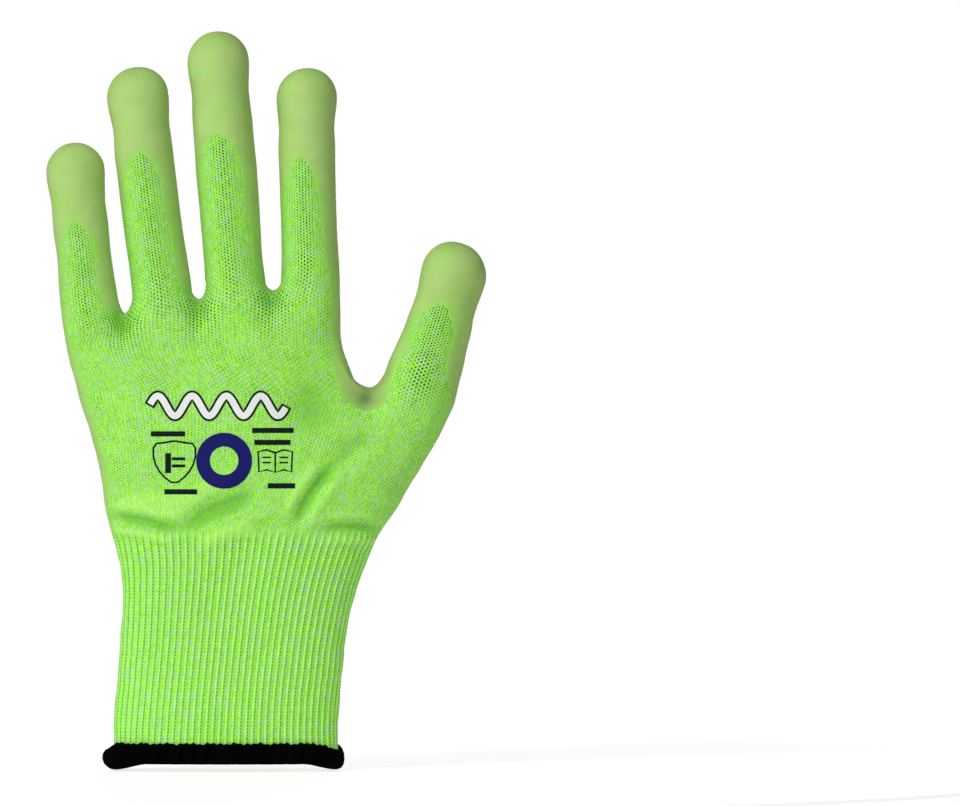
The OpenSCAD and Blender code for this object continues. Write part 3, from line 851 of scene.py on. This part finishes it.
def make_hem():
    """The black overlocked edge: smooth on the back, tucked behind the knit's teeth on the palm."""
    angle = np.linspace(0, 2 * math.pi, HEM_COLUMNS, endpoint=False)
    x, y = section_at(HEM_Z, 0.0)
    back = ease(-y, -2.0, 4.0)
    tooth = np.abs(np.sin(angle * TEETH / 2))
    wander = 0.16 * np.sin(angle * 23) + 0.12 * np.sin(angle * 41 + 1)
    top = mix(5.6 + 0.2 * wander, 9.4 + 0.45 * tooth + wander - 3.0 * ease(x, 30, 42), back)
    top = top + 3.6 * ease(np.abs(x), 34, 39) * (1 - back) - 2.2 * ease(np.abs(x), 38, 40.2)
    low = 0.25 + 2.1 * (1 - ease(np.abs(x), 27, 39)) + 0.1 * wander
    flare = ease(-x, 36, 41) * 1.7 + ease(x, 35, 40) * 0.5
    rows = []
    for share, off, up in HEM_PROFILE:
        off_x, off_y = section_at(HEM_Z, off)
        puff = 1 + 0.02 * np.sin(angle * TEETH) * (share > 0.1)
        out = flare * math.sin(math.pi * min(1.0, 0.15 + 0.85 * (1 - share))) * np.sign(x)
        height = low + up + (top - low) * share
        rows.append(np.stack([x + (off_x - x) * puff + out, y + (off_y - y) * puff, height], 1))
    return ring_mesh("hem_overlock_thread", rows[::-1], HEM_COLUMNS / 4)


def make_teeth():
    """The knit's own cut edge, folded over the black band in small points on the palm side."""
    x, y = section_at(TEETH_Z, 0.0)
    share = np.arange(HEM_COLUMNS) / HEM_COLUMNS
    palm = ease(y, 1.0, 4.5) * (1 - ease(np.abs(x), 34, 38.5))
    tooth = np.abs(((share * TEETH) % 1.0) * 2 - 1)
    low = mix(9.0, 4.3 + 2.3 * tooth, palm)
    ribs = RIB_DEPTH * tooth ** 4.4
    rows = []
    for k in range(TOOTH_ROWS):
        lift = TOOTH_STEP * max(0, k - 1)
        off = 1.1 if k == 0 else mix(2.0, -0.9, ease(k, 2.0, 9.0))
        off = (off - ribs * min(1.0, k / 3)) * palm - 0.9 * (1 - palm)
        rows.append(np.stack([*section_at(TEETH_Z + lift * 0.5, off), low + lift], 1))
    return ring_mesh("cuff_edge_points", rows, LOW, False, 1.4)


def make_elastic():
    """Three elastic threads knitted in behind the ribs."""
    threads = []
    for z in ELASTIC_Z:
        rows = []
        for turn in np.linspace(0, 2 * math.pi, 8, endpoint=False):
            x, y = section_at(z, ELASTIC_HALF[0] * math.cos(turn) - ELASTIC_IN, ELASTIC_COLUMNS)
            rows.append(np.stack([x, y, np.full(ELASTIC_COLUMNS, z + ELASTIC_HALF[1] * math.sin(turn))], 1))
        threads.append(ring_mesh(f"elastic_thread_{int(z)}", rows, ELASTIC_COLUMNS / 2))
    return threads


def band_outline(line, half):
    """The closed outline of a line drawn with a pen of the given half width."""
    line = np.asarray(line, float)
    way = np.gradient(line, axis=0)
    way /= np.linalg.norm(way, axis=1)[:, None]
    side = np.stack([-way[:, 1], way[:, 0]], 1) * half
    return np.concatenate([line + side, (line - side)[::-1]])


def arc(middle, radius, start, end, steps=24):
    turn = np.radians(np.linspace(start, end, steps))
    return np.asarray(middle) + radius * np.stack([np.cos(turn), np.sin(turn)], 1)


def box(left, right, low, high):
    return np.array([(left, low), (right, low), (right, high), (left, high)])


def dense(outline, step=0.6):
    """The same closed outline with no edge longer than the step."""
    outline = np.asarray(outline, float)
    lines = []
    for a, b in zip(outline, np.roll(outline, -1, 0)):
        count = max(1, math.ceil(np.linalg.norm(b - a) / step))
        lines.append(mix(a, b, np.arange(count)[:, None] / count))
    return np.concatenate(lines)


def flat_shape(outline, grid=0.7):
    """Triangles of a closed flat outline, with inner points so that it can follow the cloth."""
    outline = dense(outline)
    low, high = outline.min(0), outline.max(0)
    x, z = (side.ravel() for side in np.meshgrid(*(np.arange(a, b, grid) for a, b in zip(low, high))))
    inner = inside_distance(x, z, outline) > 0.25
    points = [Vector(p) for p in (*outline, *zip(x[inner], z[inner]))]
    result = delaunay_2d_cdt(points, [], [list(range(len(outline)))], 1, 1e-5)
    flat = np.array([tuple(p) for p in result[0]])
    faces = np.array([f for f in result[2] if len(f) == 3])
    middles = flat[faces].mean(1)
    return flat, faces[inside_distance(middles[:, 0], middles[:, 1], outline) > 0]


class Cloth:
    """Finds the knit's surface and its stitch coordinates under a place on the back."""

    def __init__(self, surface, part):
        quads = surface.face_corners(np.flatnonzero(surface.part == part)).reshape(-1, 4)
        order = np.concatenate([quads[:, [0, 1, 2]], quads[:, [0, 2, 3]]])
        self.triangles, self.uv = surface.corners[order], surface.uv[order]
        self.points = surface.points
        self.tree = BVHTree.FromPolygons([tuple(p) for p in self.points], self.triangles.tolist())

    def under(self, x, z, lift):
        hit, normal, index, _ = self.tree.ray_cast(Vector((x, -60, z)), Vector((0, 1, 0)))
        a, b, c = (self.points[i] for i in self.triangles[index])
        shares = np.linalg.lstsq(np.stack([b - a, c - a], 1), np.array(hit) - a, rcond=None)[0]
        ua, ub, uc = self.uv[index]
        uv = ua + (ub - ua) * shares[0] + (uc - ua) * shares[1]
        normal = normal if normal.y < 0 else -normal
        return np.array(hit) + np.array(normal) * lift, uv


def make_print(name, cloth, outlines, lift):
    """A printed mark of one or more flat shapes, lying on the knit."""
    points, corners, uv = [], [], []
    for outline in outlines:
        flat, faces = flat_shape(outline)
        first = len(points)
        places, stitch = zip(*(cloth.under(x, z, lift) for x, z in flat))
        points.extend(places)
        for face in faces:
            a, b, c = flat[face]
            order = face if np.cross(b - a, c - a) > 0 else face[::-1]
            corners.extend(first + i for i in order)
            uv.extend(stitch[i] for i in order)
    totals = np.full(len(corners) // 3, 3)
    return make_mesh(name, np.array(points), np.array(corners), totals, np.array(uv))


SHIELD = ((-1, 0.86), (-0.4, 0.92), (0, 1), (0.4, 0.92), (1, 0.86), (1, 0.1), (0.62, -0.55), (0, -1),
          (-0.62, -0.55), (-1, 0.1))
SHIELD_BARS = ((-3.2, -1.2, -3.6, 3.4), (-0.9, 3.8, 0.9, 1.9), (-0.9, 3.8, -1.6, -0.6))
PAGE = ((0, 0.75), (0.5, 1), (1, 0.85), (0.95, -0.9), (0.5, -0.72), (0, -0.95), (0, 0.75))


def node_place(node):
    """Centre and half size of a CAD node seen from the back, in millimetres."""
    low, high = (np.array(corner)[[0, 2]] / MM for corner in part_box(node))
    return (low + high) / 2, (high - low) / 2


def make_prints(cloth):
    """Generic marks where the CAD holds them: a wave, a shield, a ring, a book and five bars."""
    centre, half = node_place("print_wave")
    steps = np.linspace(0, 1, 150)
    wave_x = mix(centre[0] - half[0] + 0.6, centre[0] + half[0] - 0.6, steps)
    wave = np.stack([wave_x, centre[1] + (half[1] - 1.4) * np.sin(8 * math.pi * steps)], 1)
    shapes = {
        "print_wave": [band_outline(wave[1:-1], WAVE_PEN)],
        "print_wave_edge": [band_outline(wave, WAVE_EDGE_PEN)],
    }
    centre, half = node_place("print_ring")
    shapes["print_ring"] = [
        np.concatenate([arc(centre, half[0], a, a + 180), arc(centre, half[0] - RING_WIDTH, a + 180, a)])
        for a in (90, 270)
    ]
    centre, half = node_place("print_shield")
    shield = corner_cut(SHIELD, 1)
    shield = np.vstack([shield, shield[:1]]) * (half - 0.3)
    shapes["print_shield"] = [band_outline(centre + shield, 0.32)] + [centre + box(*b) for b in SHIELD_BARS]
    centre, half = node_place("print_book")
    half = half - 0.3
    sides = (1, -1)
    shapes["print_book"] = [band_outline(centre + np.array(PAGE) * (side, 1) * half, 0.3) for side in sides]
    shapes["print_book"] += [
        band_outline(centre + np.array([(0.25 * side, h), (0.75 * side, h)]) * half, 0.28)
        for side in sides[::-1] for h in (0.35, -0.1)
    ]
    shapes["print_bars"] = [box(x - w / 2, x + w / 2, z - BAR_HALF, z + BAR_HALF) for x, z, w in BAR_PLACES]
    lifts = {"print_wave": WAVE_LIFT, "print_bars": BAR_LIFT}
    return {name: make_print(name + "_ink", cloth, outlines, lifts.get(name, PRINT_LIFT))
            for name, outlines in shapes.items()}


# Materials


class Value:
    """An output of a material's nodes; arithmetic with it adds math nodes."""

    def __init__(self, graph, socket):
        self.graph = graph
        self.socket = socket

    def __rsub__(self, other):
        return self.graph.math("SUBTRACT", other, self)

    def times_plus(self, gain, base):
        return self.graph.math("MULTIPLY_ADD", self, gain, base)

    def floor(self):
        return self.graph.math("FLOOR", self)

    def fract(self):
        return self.graph.math("FRACT", self)

    def from_half(self):
        """Distance of the value's fraction from a half."""
        return self.graph.math("ABSOLUTE", self.fract() - 0.5)

    def smooth(self, low, high):
        """0 at low and 1 at high, eased."""
        inputs = {0: self, 1: low, 2: high}
        return self.graph.node("ShaderNodeMapRange", inputs, interpolation_type="SMOOTHSTEP")


for symbol, operation in (("add", "ADD"), ("sub", "SUBTRACT"), ("mul", "MULTIPLY"), ("truediv", "DIVIDE"),
                          ("pow", "POWER")):
    setattr(Value, f"__{symbol}__", lambda a, b, operation=operation: a.graph.math(operation, a, b))


class Graph:
    """A material's nodes, written as short expressions."""

    def __init__(self, name):
        self.material = bpy.data.materials.new(name)
        self.material.use_nodes = True
        self.tree = self.material.node_tree
        self.shader = self.tree.nodes["Principled BSDF"]

    def link(self, value, socket):
        if isinstance(value, Value):
            self.tree.links.new(value.socket, socket)
        elif isinstance(value, tuple) and len(value) == 3 and socket.type == "RGBA":
            socket.default_value = (*value, 1.0)
        else:
            socket.default_value = value

    def node(self, kind, inputs=None, output=0, **settings):
        """A new node's output, with its inputs given by number or name."""
        made = self.tree.nodes.new(kind)
        for key, value in settings.items():
            setattr(made, key, value)
        for key, value in (inputs or {}).items():
            self.link(value, made.inputs[key])
        return Value(self, made.outputs[output])

    def math(self, operation, a, b=0.0, c=0.0):
        return self.node("ShaderNodeMath", {0: a, 1: b, 2: c}, operation=operation)

    def mix(self, factor, a, b):
        return self.node("ShaderNodeMix", {0: factor, 6: a, 7: b}, 2, data_type="RGBA")

    def random(self, x, y, z=0.0):
        place = self.node("ShaderNodeCombineXYZ", {0: x, 1: y, 2: z})
        return self.node("ShaderNodeTexWhiteNoise", {"Vector": place}, noise_dimensions="3D")

    def noise(self, vector, scale, detail=2.0, rough=0.5):
        inputs = {"Vector": vector, "Scale": scale, "Detail": detail, "Roughness": rough}
        return self.node("ShaderNodeTexNoise", inputs, "Fac")

    def attribute(self, name):
        return self.node("ShaderNodeAttribute", output="Fac", attribute_name=name)

    def uv(self):
        vector = self.node("ShaderNodeUVMap", uv_map="knit")
        u = self.node("ShaderNodeSeparateXYZ", {0: vector})
        return vector, u, Value(self, u.socket.node.outputs[1])

    def bump(self, height, distance, strength):
        return self.node("ShaderNodeBump", {"Height": height, "Distance": distance, "Strength": strength})

    def surface(self, color, roughness, normal=None, specular=0.5):
        inputs = {"Base Color": color, "Roughness": roughness, "Specular IOR Level": specular}
        if normal is not None:
            inputs["Normal"] = normal
        for key, value in inputs.items():
            self.link(value, self.shader.inputs[key])
        return self.material


# Stitches for each unit of the stitch coordinates
WALES = 1.375
COURSES = 1.14

LIME = (0.34, 0.92, 0.06)
LIME_LIGHT = (0.53, 0.99, 0.19)
LIME_DEEP = (0.11, 0.43, 0.02)
MELANGE = (0.45, 0.62, 0.47)
SHADE = (0.014, 0.055, 0.008)
RIB_LIME = (0.29, 0.68, 0.10)
RIB_VALLEY_SHADE = (0.05, 0.26, 0.02)
COAT = (0.325, 0.505, 0.125)
COAT_LIGHT = (0.375, 0.57, 0.165)
COAT_SOAKED = (0.25, 0.66, 0.07)
COAT_LOW_SHADE = (0.24, 0.39, 0.11)
COAT_SHADE = (0.11, 0.19, 0.045)


def stitches(g, u, v, slope=0.62):
    """Height of plain knit from 0 to 1, the hole between stitches, and the place along its legs."""
    across = u.from_half() * 2.0
    along = v - across * slope
    thread = g.math("SQRT", g.math("MAXIMUM", 1.0 - along.fract().times_plus(2.0, -1.0) ** 2.0, 0.0))
    height = thread * (across.smooth(-0.05, 0.2) * (1.0 - across).smooth(-0.12, 0.3))
    near = ((1.0 - across) / 0.7) ** 2.0
    turn = (u + 0.5).floor() * 0.5
    end = (((v + turn).fract() - 0.5) / 0.37) ** 2.0
    hole = 1.0 - (near + end).smooth(0.3, 1.0)
    return height, hole, along


def melange(g, u, along, vector, amount):
    """The yarn's colour: lime with short pale grey strands that come and go along the thread."""
    fine = g.random((u * 4.0).floor(), (along * 3.0).floor())
    coarse = g.random(u.floor(), along.floor(), 5.0)
    slow = g.noise(vector, 0.16, 3.0, 0.6)
    pale = fine * 0.4 + coarse * 0.6 + (slow - 0.5) * 0.35
    worn = g.random((u * 2.0).floor(), along.floor(), 9.0)
    color = g.mix(worn.times_plus(0.55, fine * 0.45), LIME_DEEP, LIME_LIGHT)
    color = g.mix(0.42, color, LIME)
    return g.mix(pale.smooth(0.56, 0.80) * amount, color, MELANGE)


def rib_stitches(g, vector, u, v):
    """Height and colour of the cuff's ribs, one stitch wide, with painted shade in the valleys between
    them.
    """
    half = u.times_plus(0.5, 0.5)
    height, _, along = stitches(g, half, v, 0.45)
    color = melange(g, half * 2.0, along, vector, 0.8)
    # Painted shade where the thread dips between the stitches' crowns.
    color = g.mix(height.smooth(0.6, 0.0) * 0.35, color, LIME_DEEP)
    # Painted shade in the valleys between the ribs, dotted along the courses.
    valley = half.from_half().smooth(0.29, 0.45)
    dots = v.from_half().smooth(0.42, 0.15).times_plus(0.5, 0.35)
    color = g.mix(0.3, color, RIB_LIME)
    return height, g.mix(valley * dots, color, RIB_VALLEY_SHADE)


def knit_material(name, ribbed=False):
    g = Graph(name)
    vector, u, v = g.uv()
    wale, course = u * WALES, v * COURSES
    height, hole, along = stitches(g, wale, course)
    patchy = g.noise(vector, 0.13, 3.0, 0.6).smooth(0.35, 0.65)
    open_knit = g.math("MAXIMUM", g.attribute("field"), patchy * 0.4)
    color = melange(g, wale, along, vector, 0.6)
    # Painted shade where the thread dips between the stitches' crowns.
    color = g.mix(height.smooth(0.7, 0.1) * 0.5, color, LIME_DEEP)
    # Painted shade in the holes between stitches, darker where the knit is pulled open.
    loop = g.random((wale + 0.5).floor(), course.floor(), 2.0)
    depth = hole * open_knit.times_plus(0.85, 0.15) * loop.times_plus(0.55, 0.57)
    color = g.mix(depth, color, SHADE)
    if ribbed:
        rib_height, rib_color = rib_stitches(g, vector, u, v)
        fade = v.smooth(66.0, 71.0)
        color = g.mix(fade, rib_color, color)
        height = rib_height * (1.0 - fade) + height * fade
    # Painted shade in the folds and at the webs, and painted highlight on the folds' ridges.
    crease = g.attribute("crease")
    color = g.mix(crease.smooth(0.1, 1.5) * 0.62, color, LIME_DEEP)
    color = g.mix(crease.smooth(-0.1, -0.9) * 0.3, color, LIME_LIGHT)
    fuzz = g.noise(vector, 5.0, 3.0, 0.7)
    normal = g.bump(fuzz.times_plus(0.25, height), 0.00013, 0.8)
    return g.surface(color, 0.85, normal, specular=0.12)


def coat_material(name):
    """The dipped skin: matt, patchy, thin and tinted by the soaked knit near its edge."""
    g = Graph(name)
    vector, u, v = g.uv()
    height = stitches(g, u * WALES, v * COURSES)[0]
    slow = g.noise(vector, 0.06, 4.0, 0.6).smooth(0.3, 0.7)
    fine = g.noise(vector, 1.7, 3.0, 0.7)
    color = g.mix(slow, COAT, COAT_LIGHT)
    color = g.mix(fine.smooth(0.45, 0.75) * 0.18, color, COAT_LIGHT)
    patch = g.noise(vector, 0.09).smooth(0.52, 0.72)
    color = g.mix(patch * 0.3, color, COAT_SOAKED)
    soaked = g.attribute("field").smooth(3.2, 0.0)
    color = g.mix(soaked * height.times_plus(0.45, 0.42), color, COAT_SOAKED)
    pores = g.noise(vector, 9.0, 2.0, 0.6)
    normal = g.bump(height * 0.30 + pores * 0.16 + slow * 0.8, 0.00025, 0.7)
    # Painted shade on the coat's lowest rows, where the palm turns in towards the wrist.
    color = g.mix(v.smooth(66.0, 59.0) * 0.6, color, COAT_LOW_SHADE)
    color = g.mix(g.attribute("shade"), color, COAT_SHADE)
    return g.surface(color, fine.times_plus(0.12, 0.52), normal, specular=0.3)


def hem_material(name):
    g = Graph(name)
    vector, u, v = g.uv()
    lean = v.times_plus(0.35, u)
    thread = 1.0 - lean.fract().times_plus(2.0, -1.0) ** 2.0
    tone = g.random(lean.floor(), 3.0)
    color = g.mix(tone, (0.0004, 0.0004, 0.0005), (0.0014, 0.0014, 0.0016))
    fuzz = g.noise(vector, 3.0, 3.0, 0.7)
    normal = g.bump(fuzz.times_plus(0.5, thread), 0.00015, 0.6)
    return g.surface(color, 0.95, normal, specular=0.01)


def elastic_material(name):
    g = Graph(name)
    _, u, v = g.uv()
    twist = g.math("SINE", (u * 2.0 + v) * math.pi)
    color = g.mix(twist.smooth(-0.6, 0.8), (0.45, 0.50, 0.36), (0.78, 0.82, 0.70))
    return g.surface(color, 0.7, g.bump(twist, 0.0002, 0.7))


def ink_material(name, ink, worn, cover):
    """Ink that sits on the yarn's crowns and misses the holes and some of the low threads."""
    g = Graph(name)
    vector, u, v = g.uv()
    height = stitches(g, u * WALES, v * COURSES)[0]
    broken = g.noise(vector, 2.2, 3.0, 0.7)
    miss = height.smooth(0.5, 0.05) * broken.smooth(0.45, 0.7)
    thin = height.smooth(0.9, 0.2) * 0.3
    color = g.mix(g.math("MAXIMUM", miss, thin) * cover, ink, worn)
    normal = g.bump(broken.times_plus(0.3, height), 0.0001, 0.8)
    return g.surface(color, 0.8, normal, specular=0.05)


def floor_material(name):
    g = Graph(name)
    grain = g.noise(g.node("ShaderNodeTexCoord", output="Object"), 60.0, 3.0)
    color = g.mix(grain, (0.32, 0.32, 0.32), (0.34, 0.34, 0.34))
    g.shader.inputs["Emission Color"].default_value = (1, 1, 1, 1)
    g.shader.inputs["Emission Strength"].default_value = 0.72
    return g.surface(color, 0.9, specular=0.05)


# The scene


CAMERA_LENS = 300.0
SENSOR = 36.0
PHOTO_WIDTH_MM = 338.0
VIEW_CENTRE = (89.3, 129.0)
FLOOR_RADIUS = 0.3
FLOOR_DEPTH = 0.001
FLOOR_Z = -0.0007
LIGHT_TARGET = (0.0, 0.0, 0.13)
# Place, size and power of each light
LIGHTS = {
    "key": ((-0.95, -1.15, 1.2), 0.45, 23.0),
    "fill": ((0.75, -1.6, 0.3), 0.9, 8.5),
    "side": ((-1.7, -0.5, 0.2), 0.7, 6.5),
    "back": ((0.1, 1.7, 0.13), 0.5, 16.0),
}


def add_light(name, place, size, power):
    light = bpy.data.lights.new(name, "AREA")
    light.shape = "DISK"
    light.size = size
    light.energy = power
    lamp = bpy.data.objects.new(name, light)
    lamp.location = place
    lamp.rotation_euler = (Vector(LIGHT_TARGET) - Vector(place)).to_track_quat("-Z", "Y").to_euler()
    lamp.visible_camera = False
    bpy.context.scene.collection.objects.link(lamp)


def set_scene():
    scene = bpy.context.scene
    scene.view_settings.view_transform = "Standard"
    camera = bpy.data.cameras.new("camera")
    camera.lens = CAMERA_LENS
    camera.sensor_width = SENSOR
    camera.clip_end = 50.0
    seat = bpy.data.objects.new("camera", camera)
    distance = CAMERA_LENS / SENSOR * PHOTO_WIDTH_MM * MM
    seat.location = (VIEW_CENTRE[0] * MM, -distance, VIEW_CENTRE[1] * MM)
    seat.rotation_euler = (math.pi / 2, 0.0, 0.0)
    scene.collection.objects.link(seat)
    scene.camera = seat

    world = bpy.data.worlds.new("studio")
    scene.world = world
    world.use_nodes = True
    nodes, links = world.node_tree.nodes, world.node_tree.links
    path = nodes.new("ShaderNodeLightPath")
    strength = nodes.new("ShaderNodeMapRange")
    strength.inputs["To Min"].default_value = 0.25
    strength.inputs["To Max"].default_value = 1.0
    links.new(path.outputs["Is Camera Ray"], strength.inputs["Value"])
    background = nodes["Background"]
    background.inputs["Color"].default_value = (1, 1, 1, 1)
    links.new(strength.outputs[0], background.inputs["Strength"])

    for name, (place, size, power) in LIGHTS.items():
        add_light(name, place, size, power)

    bpy.ops.mesh.primitive_cylinder_add(vertices=96, radius=FLOOR_RADIUS, depth=FLOOR_DEPTH,
                                        location=(0, 0, FLOOR_Z))
    floor = bpy.context.object
    floor.name = "floor"
    floor.data.materials.append(floor_material("pale_floor"))


# Assembly


# The CAD nodes that each of these parts' cloth and coat replace
CAD_NODES = {
    "cuff": (["rib_cuff"], ["cuff_coat"]),
    "wrist": (["wrist_knit"], []),
    "hand": (["hand_liner", "finger_crown", "thumb_mound"], ["palm_coat"]),
}


def hinge_points(name, body):
    """The parent of a stall's body, and start and end of the bending zone between them in metres."""
    joint = next(j for j in frame["joints"] if j["child"] == body)
    axes = stall_axes[name]
    h = float((np.array(joint["pos_m"]) / MM - axes.origin) @ axes.along)
    low = ROOT_BLEND_START if joint["parent"] == "hand" else h - BEND_HALF
    return joint["parent"], *(tuple((axes.origin + axes.along * v) * MM) for v in (low, 2 * h - low))


def dress(piece, material, slot):
    piece.data.materials.clear()
    piece.data.materials.append(material)
    return piece


def attach(piece, part, coated):
    """Rides a cuff or hand piece on its body and bakes the others' transforms in place, in place of its CAD
    nodes.
    """
    if part in ("cuff", "hand"):
        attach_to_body(piece, part)
        nodes = CAD_NODES[part][coated]
    elif part == "wrist":
        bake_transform(piece)
        nodes = CAD_NODES[part][coated]
    else:
        name, link = part.split("_")
        body = f"{name}_{LINKS[link]}"
        parent, start, end = hinge_points(name, body)
        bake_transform(piece)
        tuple(start)
        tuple(end)
        nodes = [body + "_coat"] if coated else [part + "_sleeve", body + "_knit"]
    if nodes:
        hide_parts(*nodes)


def build_glove():
    knit = knit_material("knit")
    rib = knit_material("rib_knit", ribbed=True)
    coat = coat_material("coat")
    shell = build_shell()
    surface = evaluate(shell, 2)
    shape_surface(surface)
    inner = evaluate(shell, 0)
    shape_surface(inner)
    stretch = stretch_field(surface.points)
    field = coat_field(surface.points, surface.stitch)
    coat_shape(surface, field)

    for number, part in enumerate(shell.names):
        cloth = knit_piece(part + "_cloth", surface, inner, number, stretch)
        look = (rib, "rib") if part in ("cuff", "wrist") else (knit, "knit")
        attach(dress(cloth, *look), part, False)
        skin = coat_piece(part + "_coating", surface, number, field)
        if skin:
            attach(dress(skin, coat, "coat"), part, True)

    hem = dress(make_hem(), hem_material("overlock"), "hem")
    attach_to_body(hem, "cuff")
    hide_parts("hem_overlock")
    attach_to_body(dress(make_teeth(), rib, "rib"), "cuff")
    threads = make_elastic()
    stretchy = elastic_material("elastic")
    for thread in threads:
        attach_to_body(dress(thread, stretchy, "elastic"), "cuff")
    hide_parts("cuff_elastic")

    marks = make_prints(Cloth(surface, shell.names.index("hand")))
    dark = ink_material("ink_dark", (0.004, 0.008, 0.012), (0.02, 0.06, 0.015), 0.7)
    blue = ink_material("ink_blue", (0.008, 0.004, 0.115), (0.045, 0.09, 0.13), 0.7)
    light = ink_material("ink_light", (0.72, 0.74, 0.72), (0.52, 0.62, 0.50), 0.6)
    inks = {"print_wave": (light, "print_light"), "print_ring": (blue, "print_blue")}
    for node, piece in marks.items():
        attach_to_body(dress(piece, *inks.get(node, (dark, "print_dark"))), "hand")
        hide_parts(node)


set_scene()
build_glove()
